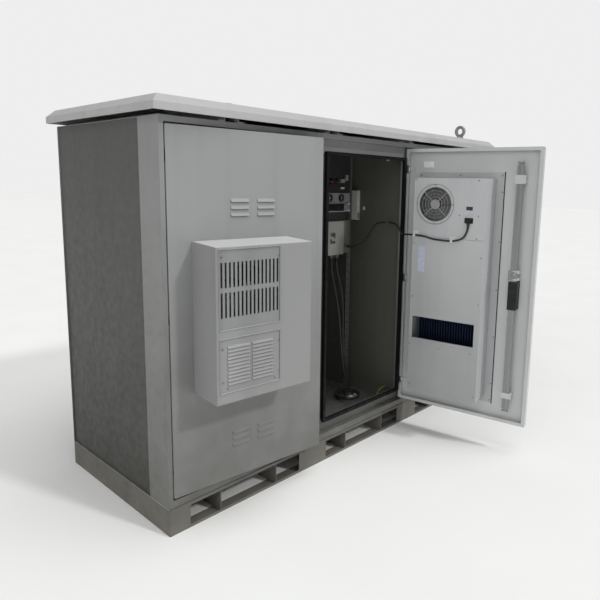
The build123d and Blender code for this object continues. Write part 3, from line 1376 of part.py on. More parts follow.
save("hood", place(make_hood(), *DOORS["left"]))
save("hood_grille", place(make_hood_grille(), *DOORS["left"]))
save("hood_louvres", place(make_hood_louvres(), *DOORS["left"]))
save("hood_fan", place(make_hood_fan(), *DOORS["left"]))

save("exchanger_housing", place(make_exchanger_housing(), *DOORS["middle"]))
save("exchanger_upper_cover", place(make_upper_cover(), *DOORS["middle"]))
save("exchanger_lower_cover", place(make_lower_cover(), *DOORS["middle"]))
save("exchanger_fan_guard", place(make_fan_guard(), *DOORS["middle"]))
save("exchanger_fan", place(make_exchanger_fan(), *DOORS["middle"]))
save("exchanger_core", place(make_exchanger_core(), *DOORS["middle"]))
save("control_socket", place(make_control_socket(), *DOORS["middle"]))
save("door_lead", place(make_door_lead(), *DOORS["middle"]))
save("cable_clips", place(make_cable_clips(), *DOORS["middle"]))
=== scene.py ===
"""Looks of a wide outdoor electrical cabinet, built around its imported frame."""

import logging
import math
from dataclasses import dataclass
from enum import Enum

import bmesh
import bpy
import numpy as np
from mathutils import Matrix, Vector


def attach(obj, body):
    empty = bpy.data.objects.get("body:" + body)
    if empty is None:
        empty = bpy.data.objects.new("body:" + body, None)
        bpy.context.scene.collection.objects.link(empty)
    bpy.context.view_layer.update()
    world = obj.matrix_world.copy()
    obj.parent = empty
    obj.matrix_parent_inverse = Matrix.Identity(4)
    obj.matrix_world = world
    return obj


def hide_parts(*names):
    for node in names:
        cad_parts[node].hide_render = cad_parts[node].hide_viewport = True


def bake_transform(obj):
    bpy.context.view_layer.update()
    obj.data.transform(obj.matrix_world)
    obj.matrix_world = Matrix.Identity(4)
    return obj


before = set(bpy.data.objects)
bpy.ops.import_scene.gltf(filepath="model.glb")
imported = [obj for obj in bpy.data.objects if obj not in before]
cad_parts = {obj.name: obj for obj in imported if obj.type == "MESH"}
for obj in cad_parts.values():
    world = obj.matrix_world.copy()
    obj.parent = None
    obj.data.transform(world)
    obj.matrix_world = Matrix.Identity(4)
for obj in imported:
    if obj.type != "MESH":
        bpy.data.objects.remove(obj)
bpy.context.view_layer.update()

log = logging.getLogger("cabinet")
MM = 0.001
MERGE_DISTANCE = 2e-6
SHARP_DEGREES = 32
Colour = tuple[float, float, float]
Place = tuple[float, float, float]
Shape = tuple[np.ndarray, np.ndarray]
Socket = bpy.types.NodeSocket


class Side(Enum):
    """Side of the bay that a door's hinges are on."""

    LEFT = -1
    RIGHT = 1


class Axis(Enum):
    """Row axis, by its column in a point array."""

    X = 0
    Y = 1
    Z = 2


# Finishes


def shade(colour: Colour, factor: float, lift: float = 0.0) -> Colour:
    """Colour made lighter or darker, held at white."""
    return tuple(min(1.0, c * factor + lift) for c in colour)


class Graph:
    """A material's or world's node tree, with short ways to add and join nodes."""

    def __init__(self, owner: bpy.types.ID, place: str) -> None:
        """Empties the owner's node tree.

        Args:
            owner: The material or world.
            place: Name of the coordinates that patterns follow.
        """
        owner.use_nodes = True
        self.owner = owner
        self.nodes, self.links = owner.node_tree.nodes, owner.node_tree.links
        self.nodes.clear()
        self.place = self.add("ShaderNodeTexCoord").outputs[place]

    def add(self, kind: str, inputs: dict | None = None, **settings: object) -> bpy.types.Node:
        """Adds a node.

        Args:
            kind: Blender's node type.
            inputs: Its inputs' names or numbers, as in feed.
            settings: Its properties' names and values.

        Returns:
            The new node.
        """
        node = self.nodes.new(kind)
        for key, value in settings.items():
            setattr(node, key, value)
        self.feed(node, inputs or {})
        return node

    def feed(self, node: bpy.types.Node, inputs: dict) -> None:
        """Sets a node's inputs or joins them to other nodes.

        Args:
            node: The node.
            inputs: Names or numbers, each with a number, a tuple or an output socket.
        """
        for key, value in inputs.items():
            if isinstance(value, Socket):
                self.links.new(value, node.inputs[key])
            else:
                node.inputs[key].default_value = value

    def noise(self, scale: float, detail: float, stretch: Place = (1, 1, 1)) -> Socket:
        """Noise over the piece's own place, as a factor.

        Args:
            scale: Cells per metre.
            detail: Octaves.
            stretch: Scale along each axis.

        Returns:
            The factor socket.
        """
        place = self.add("ShaderNodeMapping", {"Vector": self.place, "Scale": stretch}).outputs[0]
        inputs = {"Vector": place, "Scale": scale, "Detail": detail}
        return self.add("ShaderNodeTexNoise", inputs).outputs["Fac"]

    def ramp(self, value: Socket, low: float, high: float, start: float, end: float) -> Socket:
        """Maps a range onto another, held at its ends.

        Args:
            value: The socket to map.
            low: Start of the old range.
            high: End of the old range.
            start: Value at low.
            end: Value at high.

        Returns:
            The mapped socket.
        """
        inputs = {"Value": value, "From Min": low, "From Max": high, "To Min": start, "To Max": end}
        return self.add("ShaderNodeMapRange", inputs).outputs["Result"]

    def mix(self, factor: object, *colours: object) -> Socket:
        """Mixes two colours.

        Args:
            factor: Share of the second, a number or a socket.
            colours: Both colours, each a tuple or a socket.

        Returns:
            The mixed colour's socket.
        """
        first, second = ((*c, 1.0) if isinstance(c, tuple) else c for c in colours)
        inputs = {0: factor, 6: first, 7: second}
        return self.add("ShaderNodeMix", inputs, data_type="RGBA").outputs[2]

    def math(self, operation: str, first: object, second: object = 0.0) -> Socket:
        """One arithmetic step, by Blender's name of it."""
        inputs = {0: first, 1: second}
        return self.add("ShaderNodeMath", inputs, operation=operation).outputs[0]

    def along(self, axis: Axis, vector: Socket | None = None) -> Socket:
        """One coordinate of a vector, or else of the place in metres."""
        vector = self.place if vector is None else vector
        return self.add("ShaderNodeSeparateXYZ", {0: vector}).outputs[axis.value]


class Surface(Graph):
    """A material with its shader."""

    def __init__(self, name: str) -> None:
        """Makes a material.

        Args:
            name: Its name.
        """
        super().__init__(bpy.data.materials.new(name), "Object")
        self.shader = self.add("ShaderNodeBsdfPrincipled")
        self.add("ShaderNodeOutputMaterial", {0: self.shader.outputs[0]})

    def paint(self, colour: Socket, roughness: object, **others: float) -> None:
        """Gives the shader its colour and roughness.

        Args:
            colour: The colour socket.
            roughness: A number or a socket.
            others: Further inputs, with _ for each space in a name.
        """
        self.feed(self.shader, {"Base Color": colour, "Roughness": roughness})
        self.feed(self.shader, {key.replace("_", " "): value for key, value in others.items()})

    def rough(self, pattern: Socket, low: float, high: float) -> Socket:
        """Roughness that wanders from low to high with a pattern."""
        return self.ramp(pattern, 0.3, 0.7, low, high)

    def grain(self, scale: float, strength: float, depth: float, edge: float) -> None:
        """Fine bump on the surface, over edges rounded in shading.

        Args:
            scale: Grains per metre.
            strength: Strength of the bump.
            depth: Depth in metres.
            edge: Radius of the rounded edges in metres.
        """
        soft = self.add("ShaderNodeBevel", {"Radius": edge}, samples=4).outputs[0]
        inputs = {"Height": self.noise(scale, 2.0), "Strength": strength, "Distance": depth}
        bump = self.add("ShaderNodeBump", {**inputs, "Normal": soft})
        self.feed(self.shader, {"Normal": bump.outputs[0]})


@dataclass(frozen=True)
class PowderCoat:
    """Sprayed and baked paint on sheet steel, with faint mottling, run marks and a low tint mixed
    in towards the bottom.

    Inward holds a door's inward direction and the depth of its outer face
    along it; what lies deeper than the skin takes the inside colour, a lighter
    grey that is painted light on the open door's inner side.
    Top is a lighter colour on faces that look up, painted light from above.
    """

    name: str
    colour: Colour
    roughness: float = 0.45
    low_tint: Colour = (0.30, 0.27, 0.22)
    low_tint_top: float = 0.0
    low_tint_share: float = 0.0
    low_tint_even: float = 0.25
    seams: tuple[float, ...] = ()
    seam_half: tuple[float, float] = (0.0006, 0.0011)
    seam_colour: Colour = (0.03, 0.03, 0.03)
    grime: float = 0.12
    inward: tuple[float, float, float] | None = None
    # Painted light: the lighter grey of a door's inner side.
    inside: Colour = (0.56, 0.57, 0.57)
    skin: tuple[float, float] = (0.0009, 0.0012)
    top: Colour | None = None

    def build(self) -> bpy.types.Material:
        """Makes the material.

        Returns:
            The finished material.
        """
        g = Surface(self.name)
        patches = g.ramp(g.noise(2.2, 4.0), 0.35, 0.7, 0.0, 1.0)
        colour = g.mix(patches, shade(self.colour, 1.04), self.colour)
        runs = g.ramp(g.noise(9.0, 5.0, (1.0, 1.0, 0.07)), 0.5, 0.72, 0.0, 0.75)
        colour = g.mix(runs, colour, shade(self.colour, 1 - self.grime))
        specks = g.ramp(g.noise(160.0, 2.0), 0.66, 0.74, 0.0, 0.25)
        colour = g.mix(specks, colour, shade(self.colour, 0.7))
        # The low tint is mixed in towards the bottom, fading out at low_tint_top, in clouds that
        # low_tint_even evens out.
        if self.low_tint_share > 0:
            height = g.ramp(g.along(Axis.Z), 0.0, self.low_tint_top, 1.0, 0.0)
            cloud = g.ramp(g.noise(7.0, 6.0), 0.3, 0.65, self.low_tint_even, 1.0)
            share = g.math("MULTIPLY", g.math("MULTIPLY", height, cloud), self.low_tint_share)
            colour = g.mix(share, colour, self.low_tint)
        # Painted light: the door's inner side takes the lighter inside colour, standing for light
        # falling on the open door's inner face.
        if self.inward is not None:
            across, deep, start = self.inward
            sideways = g.math("MULTIPLY", g.along(Axis.X), across)
            depth = g.math("ADD", sideways, g.math("MULTIPLY", g.along(Axis.Y), deep))
            lit_inside = g.mix(patches, shade(self.inside, 0.95), self.inside)
            outer, inner = (start + skin for skin in self.skin)
            colour = g.mix(g.ramp(depth, outer, inner, 0.0, 1.0), colour, lit_inside)
        # Painted light: faces that look up take the lighter top colour, standing for light from
        # above.
        if self.top is not None:
            rise = g.along(Axis.Z, g.add("ShaderNodeNewGeometry").outputs["Normal"])
            colour = g.mix(g.ramp(rise, 0.8, 0.95, 0.0, 1.0), colour, self.top)
        for seam in self.seams:
            offset = g.math("ABSOLUTE", g.math("SUBTRACT", g.along(Axis.X), seam))
            share = g.ramp(offset, *self.seam_half, 0.85, 0.0)
            colour = g.mix(share, colour, self.seam_colour)
        low, high = self.roughness - 0.06, self.roughness + 0.1
        g.paint(colour, g.rough(g.noise(30.0, 4.0), low, high))
        g.grain(700.0, 0.12, 0.0004, 0.0012)
        return g.owner


@dataclass(frozen=True)
class ZincSteel:
    """Plated steel with a cloudy, slightly streaked surface."""

    name: str
    colour: Colour = (0.50, 0.50, 0.49)
    roughness: float = 0.36
    stretch: Place = (1.0, 1.0, 0.25)
    pitting: float = 0.1
    metal: float = 0.85

    def build(self) -> bpy.types.Material:
        """Makes the material.

        Returns:
            The finished material.
        """
        g = Surface(self.name)
        cloud = g.ramp(g.noise(24.0, 5.0, self.stretch), 0.3, 0.7, 0.0, 1.0)
        colour = g.mix(cloud, self.colour, shade(self.colour, 0.72))
        low, high = self.roughness - 0.08, self.roughness + 0.14
        g.paint(colour, g.rough(g.noise(60.0, 3.0, self.stretch), low, high), Metallic=self.metal)
        g.grain(320.0, self.pitting, 0.0003, 0.0006)
        return g.owner


@dataclass(frozen=True)
class Plastic:
    """Moulded plastic or rubber with a fine grain."""

    name: str
    colour: Colour
    roughness: float = 0.5
    grain: float = 0.12
    shine: float = 0.5

    def build(self) -> bpy.types.Material:
        """Makes the material.

        Returns:
            The finished material.
        """
        g = Surface(self.name)
        haze = g.ramp(g.noise(40.0, 4.0), 0.4, 0.75, 0.0, 0.6)
        colour = g.mix(haze, self.colour, shade(self.colour, 1.25, 0.012))
        low, high = self.roughness - 0.05, self.roughness + 0.1
        g.paint(colour, g.rough(g.noise(25.0, 3.0), low, high), Specular_IOR_Level=self.shine)
        g.grain(1500.0, self.grain, 0.0002, 0.0008)
        return g.owner


@dataclass(frozen=True)
class DarkGlass:
    """Tinted window or display pane, smooth with faint smears."""

    name: str
    colour: Colour

    def build(self) -> bpy.types.Material:
        """Makes the material.

        Returns:
            The finished material.
        """
        g = Surface(self.name)
        smear = g.ramp(g.noise(20.0, 4.0, (1.0, 1.0, 0.3)), 0.4, 0.7, 0.0, 0.5)
        colour = g.mix(smear, self.colour, shade(self.colour, 1.6, 0.01))
        g.paint(colour, g.ramp(smear, 0.0, 0.5, 0.06, 0.18))
        return g.owner


# Shapes


def grid_faces(rows: int, columns: int) -> np.ndarray:
    """Quads of a grid of points stored row by row, whose last column joins the first.

    Args:
        rows: Points down.
        columns: Points across.

    Returns:
        Corner numbers, four to a face.
    """
    row, column = np.meshgrid(np.arange(rows - 1), np.arange(columns), indexing="ij")
    here, below, right = row * columns, (row + 1) * columns, (column + 1) % columns
    return np.stack([here + column, here + right, below + right, below + column], -1).reshape(-1, 4)


def show(name: str, data: bpy.types.ID) -> bpy.types.Object:
    """Puts data into the scene.

    Args:
        name: The new object's name.
        data: Its mesh, curve, lamp or lens.

    Returns:
        The object.
    """
    shown = bpy.data.objects.new(name, data)
    bpy.context.scene.collection.objects.link(shown)
    return shown


def show_mesh(
    name: str, points: np.ndarray, faces: list, material: bpy.types.Material
) -> bpy.types.Object:
    """Shows computed points and faces as one closed mesh.

    Doubled points are joined, faces turned outwards and all but sharp edges
    smoothed.

    Args:
        name: The piece's name.
        points: Points in metres, in the row frame.
        faces: Corner numbers of each face.
        material: Its finish.

    Returns:
        The new piece.
    """
    mesh = bpy.data.meshes.new(name)
    mesh.from_pydata(points.reshape(-1, 3).tolist(), [], faces)
    mesh.materials.append(material)
    work = bmesh.new()
    work.from_mesh(mesh)
    bmesh.ops.remove_doubles(work, verts=work.verts, dist=MERGE_DISTANCE)
    bmesh.ops.recalc_face_normals(work, faces=work.faces)
    work.to_mesh(mesh)
    work.free()
    mesh.shade_smooth()
    mesh.set_sharp_from_angle(angle=math.radians(SHARP_DEGREES))
    return show(name, mesh)


def repeat(points: np.ndarray, faces: np.ndarray, places: np.ndarray, turns: np.ndarray) -> Shape:
    """Copies a small shape drawn round the local y axis to many places.

    Each copy is turned about y by its angle, then moved.

    Args:
        points: The shape's points.
        faces: The shape's faces.
        places: One row of x, y, z for each copy.
        turns: One angle in radians for each copy.

    Returns:
        All points and all faces.
    """
    cos, sin = np.cos(turns)[:, None], np.sin(turns)[:, None]
    x = points[None, :, 0] * cos + points[None, :, 2] * sin
    z = -points[None, :, 0] * sin + points[None, :, 2] * cos
    y = np.broadcast_to(points[None, :, 1], x.shape)
    all_points = np.stack([x, y, z], -1) + places[:, None, :]
    shift = (np.arange(len(places)) * len(points))[:, None, None]
    return all_points.reshape(-1, 3), (faces[None] + shift).reshape(-1, faces.shape[1])


def circle(count: int) -> np.ndarray:
    """Angles in radians of evenly spaced points round a circle."""
    return np.arange(count) / count * 2 * np.pi


def turned(profile: tuple, sides: int = 24) -> Shape:
    """Profile of radius and height turned round the y axis, height along +y.

    Args:
        profile: Pairs of radius and height.
        sides: Points round the axis.

    Returns:
        Points and faces.
    """
    profile = np.array(profile, float)
    out, angle = profile[:, 0:1], circle(sides)
    y = np.broadcast_to(profile[:, 1:2], (len(profile), sides))
    points = np.stack([out * np.cos(angle), y, out * np.sin(angle)], -1)
    return points.reshape(-1, 3), grid_faces(len(profile), sides)


def screw_head(radius: float, height: float, facing: int) -> Shape:
    """Pan head with a cross recess.

    A profile of radius and height is turned round y; inside the recess the
    height drops where the cosine of four times the angle is high.

    Args:
        radius: Head radius in millimetres.
        height: Head height in millimetres.
        facing: -1 for a head that faces -Y, 1 for +Y.

    Returns:
        Points and faces.
    """
    profile = np.array(
        [(0, 0), (1, 0), (1, 0.35), (0.86, 0.8), (0.6, 1), (0.5, 1), (0.28, 1), (0.02, 1)]
    )
    recess_reach, core_reach, arm_cosine, recess_level = 0.55, 0.1, 0.3, 0.25
    angle = circle(16)
    out, up = profile[:, 0:1], profile[:, 1:2]
    arms = (np.cos(4 * angle) > arm_cosine) & (out < recess_reach)
    sunk = (arms | (out < core_reach)) & (up > 0.9)
    x, z = out * radius * np.cos(angle), out * radius * np.sin(angle) * -facing
    y = np.where(sunk, recess_level, up) * height * facing
    return np.stack([x, y, z], -1).reshape(-1, 3), grid_faces(len(profile), len(angle))


def block(low: tuple, high: tuple, bevel: float) -> Shape:
    """Box with cut edges, as six eight-point rings stacked along z.

    Each ring is the box's rectangle with its corners cut, drawn in by the
    bevel at both ends, and shrunk to a point in the first and last ring.

    Args:
        low: Lowest corner.
        high: Highest corner.
        bevel: Width of the cut.

    Returns:
        Points and faces.
    """
    low, high = np.array(low, float), np.array(high, float)
    half, middle = (high - low) / 2, (high + low) / 2
    sign = np.array([(1, -1), (1, -1), (1, 1), (1, 1), (-1, 1), (-1, 1), (-1, -1), (-1, -1)])
    cut = np.array([(1, 0), (0, 1)] * 4)[[0, 1, 1, 0, 0, 1, 1, 0]] * bevel
    inset = np.array([1, 1, 0, 0, 1, 1])[:, None, None] * bevel
    spread = np.array([0, 1, 1, 1, 1, 0])[:, None, None]
    flat = sign * (half[:2] - inset - cut) * spread
    level = np.array([-1, -1, -1, 1, 1, 1]) * (half[2] - np.array([0, 0, 1, 1, 0, 0]) * bevel)
    points = np.concatenate([flat, np.broadcast_to(level[:, None, None], (6, 8, 1))], -1) + middle
    return points.reshape(-1, 3), grid_faces(6, 8)


def moved(shape: Shape, place: Place) -> Shape:
    """A shape moved to a place."""
    return shape[0] + place, shape[1]


def upright(shape: Shape) -> Shape:
    """A shape whose local y axis now points along z."""
    return shape[0][:, [0, 2, 1]], shape[1]


def joined(shapes: list[Shape]) -> Shape:
    """Puts several shapes into one.

    Args:
        shapes: Points and faces of each.

    Returns:
        All points and all faces.
    """
    starts = np.cumsum([0] + [len(points) for points, _ in shapes])
    faces = [part + start for (_, part), start in zip(shapes, starts)]
    return np.concatenate([points for points, _ in shapes]), np.concatenate(faces)


def ring(radius: float, tube: float, rows: int = 36, columns: int = 8) -> Shape:
    """Wire ring round the y axis: a small circle carried round a large one.

    Args:
        radius: Radius of the large circle.
        tube: Radius of the wire.
        rows: Points round the large circle.
        columns: Points round the wire.

    Returns:
        Points and faces.
    """
    around, across = circle(rows)[:, None], circle(columns)[None, :]
    reach = radius + tube * np.cos(across)
    y = np.broadcast_to(tube * np.sin(across), (rows, columns))
    points = np.stack([reach * np.cos(around), y, reach * np.sin(around)], -1).reshape(-1, 3)
    return points, grid_faces(rows + 1, columns) % (rows * columns)


# The camera, lights and floor


@dataclass(frozen=True)
class Studio:
    """Camera at the photograph's viewing angle, soft light and a pale floor.

    A lamp's row has its name, the direction towards it, its strength and the
    angle of its disc in degrees.
    """

    picture: float = 600.0
    focal_px: float = 558.94
    centre_u: float = 341.17
    centre_v: float = 270.97
    yaw: float = 48.23
    pitch: float = -8.736
    roll: float = 1.168
    eye: Place = (-2.2766, -2.2799, 1.3953)
    sensor: float = 36.0
    sky: tuple[float, float] = (0.15, 0.45)
    sky_colour: Colour = (0.99, 0.995, 1.0)
    backdrop: Colour = (0.86, 0.86, 0.86)
    floor_colour: Colour = (0.86, 0.86, 0.85)
    floor_reach: float = 40.0
    floor_drop: float = 0.0005
    lamps: tuple = (
        ("front light", (0.3, -1.0, 0.8), 1.05, 5.0),
        ("ceiling light", (0.05, -0.35, 1.0), 1.45, 45.0),
        ("left light", (-1.0, -0.25, 0.4), 0.75, 50.0),
    )

    def camera(self) -> None:
        """Makes the camera from the fitted angles."""
        yaw, pitch, roll = (math.radians(a) for a in (self.yaw, self.pitch, self.roll))
        level = math.cos(pitch)
        ahead = Vector((math.sin(yaw) * level, math.cos(yaw) * level, math.sin(pitch)))
        right = Vector((math.cos(yaw), -math.sin(yaw), 0))
        up = right.cross(ahead)
        right, up = (
            math.cos(roll) * right + math.sin(roll) * up,
            -math.sin(roll) * right + math.cos(roll) * up,
        )
        lens = bpy.data.cameras.new("camera")
        lens.sensor_width = self.sensor
        lens.lens = self.focal_px / self.picture * self.sensor
        lens.shift_x = (self.picture / 2 - self.centre_u) / self.picture
        lens.shift_y = (self.centre_v - self.picture / 2) / self.picture
        camera = show("camera", lens)
        turn = Matrix((right, up, -ahead)).transposed().to_4x4()
        camera.matrix_world = Matrix.Translation(self.eye) @ turn
        bpy.context.scene.camera = camera

    def lights(self) -> None:
        """Adds the distant lamps."""
        for name, source, strength, spread in self.lamps:
            lamp = bpy.data.lights.new(name, "SUN")
            lamp.energy = strength
            lamp.angle = math.radians(spread)
            turn = Vector(source).to_track_quat("Z", "Y").to_euler()
            show(name, lamp).rotation_euler = turn

    def world(self) -> None:
        """Sky that is pale all round and brighter overhead, near white to the camera."""
        g = Graph(bpy.data.worlds.new("world"), "Generated")
        rise = g.ramp(g.along(Axis.Z), 0.0, 1.0, *self.sky)
        sky = g.add("ShaderNodeBackground", {"Color": (*self.sky_colour, 1), "Strength": rise})
        shown = g.add("ShaderNodeBackground", {"Color": (*self.backdrop, 1)})
        ray = g.add("ShaderNodeLightPath").outputs["Is Camera Ray"]
        mix = g.add("ShaderNodeMixShader", {0: ray, 1: sky.outputs[0], 2: shown.outputs[0]})
        g.add("ShaderNodeOutputWorld", {0: mix.outputs[0]})
        bpy.context.scene.world = g.owner

    def floor(self) -> None:
        """Large pale floor just under the plinth."""
        corners = np.array([(-1, -1, 0), (1, -1, 0), (1, 1, 0), (-1, 1, 0)]) * self.floor_reach
        mesh = bpy.data.meshes.new("floor")
        mesh.from_pydata((corners - (0, 0, self.floor_drop)).tolist(), [], [(0, 1, 2, 3)])
        g = Surface("floor")
        soft = g.ramp(g.noise(1.5, 4.0), 0.3, 0.7, 0.0, 1.0)
        g.paint(g.mix(soft, self.floor_colour, shade(self.floor_colour, 0.97)), 0.9)
        mesh.materials.append(g.owner)
        show("floor", mesh)

    def build(self) -> None:
        """Sets up the whole studio."""
        self.camera()
        self.world()
        self.floor()
        self.lights()
        bpy.context.scene.view_settings.view_transform = "Standard"


# Where pieces are drawn


@dataclass(frozen=True)
class Seat:
    """Body that pieces are drawn on, with drawn places in millimetres."""

    body: str

    def place(self, points: np.ndarray) -> np.ndarray:
        """Takes drawn points in millimetres to metres in the row frame."""
        return points.reshape(-1, 3) * MM


@dataclass(frozen=True)
class DoorSeat(Seat):
    """Door that pieces are drawn on as if it were closed.

    A drawn point has x from the bay's middle towards the free side of a door
    hinged on the left, y from the cabinet's front face and z from the floor.
    """

    bay: float
    hinge: Side
    angle: float
    pin_x: float = 361.0
    pin_y: float = 10.0
    front: float = -435.0

    def place(self, points: np.ndarray) -> np.ndarray:
        """Turns drawn points about the hinge pin and moves them to the bay.

        Args:
            points: Drawn points in millimetres.

        Returns:
            Points in metres, in the row frame.
        """
        points = points.reshape(-1, 3) * (-self.hinge.value, 1.0, 1.0)
        pin = np.array((self.pin_x * self.hinge.value, self.pin_y, 0))
        cos, sin = math.cos(math.radians(self.angle)), math.sin(math.radians(self.angle))
        spin = np.array(((cos, -sin, 0), (sin, cos, 0), (0, 0, 1)))
        return ((points - pin) @ spin.T + pin + (self.bay, self.front, 0)) * MM

    def inward(self) -> tuple[float, float, float]:
        """Direction into the cabinet, and the outer face's depth along it.

        Returns:
            The direction's x and y, and the depth in metres.
        """
        outer, inner = self.place(np.array(((0.0, 0.0, 0.0), (0.0, 1000.0, 0.0))))
        along = inner - outer
        return float(along[0]), float(along[1]), float(outer @ along)


CABINET = Seat("cabinet")
LEFT_DOOR = DoorSeat("left_door", -800.0, Side.LEFT, -6.0)
MIDDLE_DOOR = DoorSeat("middle_door", 0.0, Side.RIGHT, 99.0)
RIGHT_DOOR = DoorSeat("right_door", 800.0, Side.RIGHT, 0.0)

# The cabinet's finishes

GREY = (0.31, 0.315, 0.315)
DOOR_GREY = (0.29, 0.295, 0.295)
# Painted light on the hood's upward faces.
PAINTED_TOP_LIGHT = (0.55, 0.55, 0.54)
# Colours that make the frame, covers, doors, side panels and the unit's covers darker towards the
# bottom.
LOW_DARKENING = (0.09, 0.088, 0.077)
SIDE_LOW_DARKENING = (0.017, 0.017, 0.011)
UNIT_LOW_DARKENING = (0.25, 0.25, 0.25)

FINISHES = (
    PowderCoat("frame_paint", GREY, 0.42, LOW_DARKENING, 2.0, 1.0, low_tint_even=0.82, seams=(-0.4, 0.4)),
    PowderCoat("cover_paint", GREY, 0.42, LOW_DARKENING, 1.2, 0.7, low_tint_even=0.7),
    # Painted shade: the side panels take a far darker grey than the cabinet's paint, standing for
    # the shade on the cabinet's left side.
    PowderCoat("side_painted_shade", (0.11, 0.11, 0.105), 0.5, SIDE_LOW_DARKENING, 2.0, 1.0, low_tint_even=0.85),
    # Painted light: the roof takes a lighter grey than the cabinet's paint, standing for the light
    # from above.
    PowderCoat("roof_painted_light", (0.43, 0.435, 0.43), 0.4, grime=0.1),
    # The hood: its upward faces take painted light from above.
    PowderCoat(
        "hood_paint", (0.26, 0.265, 0.262), 0.4, low_tint_top=0.8, low_tint_share=0.15, top=PAINTED_TOP_LIGHT
    ),
    # Painted light: the unit's covers take a lighter grey than the cabinet's paint, standing for
    # light falling on the open door's inner side.
    PowderCoat("unit_paint", (0.52, 0.535, 0.54), 0.42, UNIT_LOW_DARKENING, 1.15, 0.85, low_tint_even=0.85),
    # Painted shade: the partitions take a dark brownish grey, standing for the shade inside the
    # bays.
    PowderCoat("inner_painted_shade", (0.115, 0.113, 0.098), 0.5),
    PowderCoat(
        "plinth_paint", (0.105, 0.102, 0.09), 0.6, low_tint_top=0.14, low_tint_share=0.3, grime=0.3
    ),
    PowderCoat("black_paint", (0.02, 0.02, 0.02), 0.5, grime=0.3),
    PowderCoat("tray_paint", DOOR_GREY, 0.5),
    PowderCoat("rack_black", (0.028, 0.028, 0.028), 0.5, grime=0.2),
    PowderCoat("grille_paint", (0.235, 0.24, 0.24), 0.42, low_tint_top=0.8, low_tint_share=0.15),
    PowderCoat("housing_paint", (0.42, 0.43, 0.435), 0.42),
    PowderCoat("box_paint", (0.16, 0.157, 0.14), 0.45),
    PowderCoat("box_cover_paint", (0.26, 0.257, 0.235), 0.45),
    PowderCoat("rack_paint", (0.10, 0.10, 0.095), 0.5),
    Plastic("fan_moulding", (0.15, 0.15, 0.15), 0.45),
    Plastic("switch_moulding", (0.25, 0.25, 0.23), 0.4),
    Plastic("coated_wire", (0.29, 0.29, 0.29), 0.4),
    ZincSteel("zinc"),
    ZincSteel("rod_zinc", (0.31, 0.31, 0.315), 0.26, (1.0, 1.0, 0.02), 0.02),
    ZincSteel("eye_zinc", (0.42, 0.42, 0.41), 0.42),
    Plastic("seal", (0.006, 0.006, 0.007), 0.6, 0.25, 0.12),
    Plastic("black_moulding", (0.012, 0.012, 0.013), 0.42, 0.12, 0.25),
    Plastic("cable", (0.015, 0.015, 0.016), 0.45),
    Plastic("white_moulding", (0.62, 0.62, 0.60), 0.45),
    Plastic("red_moulding", (0.15, 0.04, 0.035), 0.4),
    ZincSteel("coated_fins", (0.06, 0.09, 0.18), 0.45),
    ZincSteel("satin_chrome", (0.60, 0.60, 0.60), 0.24, pitting=0.02),
    ZincSteel("screw_steel", (0.34, 0.33, 0.31), 0.4, (1.0, 1.0, 1.0)),
    DarkGlass("dark_pane", (0.012, 0.015, 0.015)),
    DarkGlass("blue_pane", (0.018, 0.026, 0.07)),
    Plastic("cable_jacket", (0.032, 0.032, 0.03), 0.5),
    Plastic("bare_sheet", (0.50, 0.54, 0.64), 0.35, 0.04),
    Plastic("bare_plate", (0.80, 0.81, 0.80), 0.35, 0.04),
    Plastic("green_yellow", (0.30, 0.34, 0.03), 0.45),
)

NODE_GROUPS = {
    "frame_paint": "front_frame corner_posts rear_frame top_plate roof_rails",
    "side_painted_shade": "side_panels",
    "roof_painted_light": "roof_canopy",
    "cover_paint": "rear_covers",
    "hood_paint": "hood hood_louvres",
    "grille_paint": "hood_grille",
    "rack_black": "breaker_panel",
    "fan_moulding": "exchanger_fan",
    "unit_paint": "exchanger_upper_cover exchanger_lower_cover",
    "housing_paint": "exchanger_housing",
    "box_paint": "distribution_box",
    "box_cover_paint": "distribution_cover",
    "rack_paint": "rack_posts",
    "switch_moulding": "main_switch",
    "inner_painted_shade": "partitions",
    "plinth_paint": "plinth",
    "tray_paint": "fan_tray control_unit",
    "black_paint": "blank_panel",
    "zinc": "floor_plate hinge_brackets hinge_pins",
    "eye_zinc": "lifting_eyes",
    "seal": "door_seals",
    "white_moulding": "cable_duct cable_clips",
    "black_moulding": "hood_fan tray_fan_1 tray_fan_2 control_socket "
    "left_handle_base middle_handle_base right_handle_base",
    "satin_chrome": "left_handle middle_handle right_handle",
    "coated_wire": "exchanger_fan_guard",
    "rod_zinc": "left_upper_rod left_lower_rod middle_upper_rod middle_lower_rod "
    "right_upper_rod right_lower_rod",
    "red_moulding": "breaker_toggle_1 breaker_toggle_2",
    "coated_fins": "exchanger_core",
    "cable": "box_cables cabinet_lead hinge_lead door_lead",
    "green_yellow": "earth_wire",
}

BLACK = "black_plastic"
STEEL = "rod_steel"


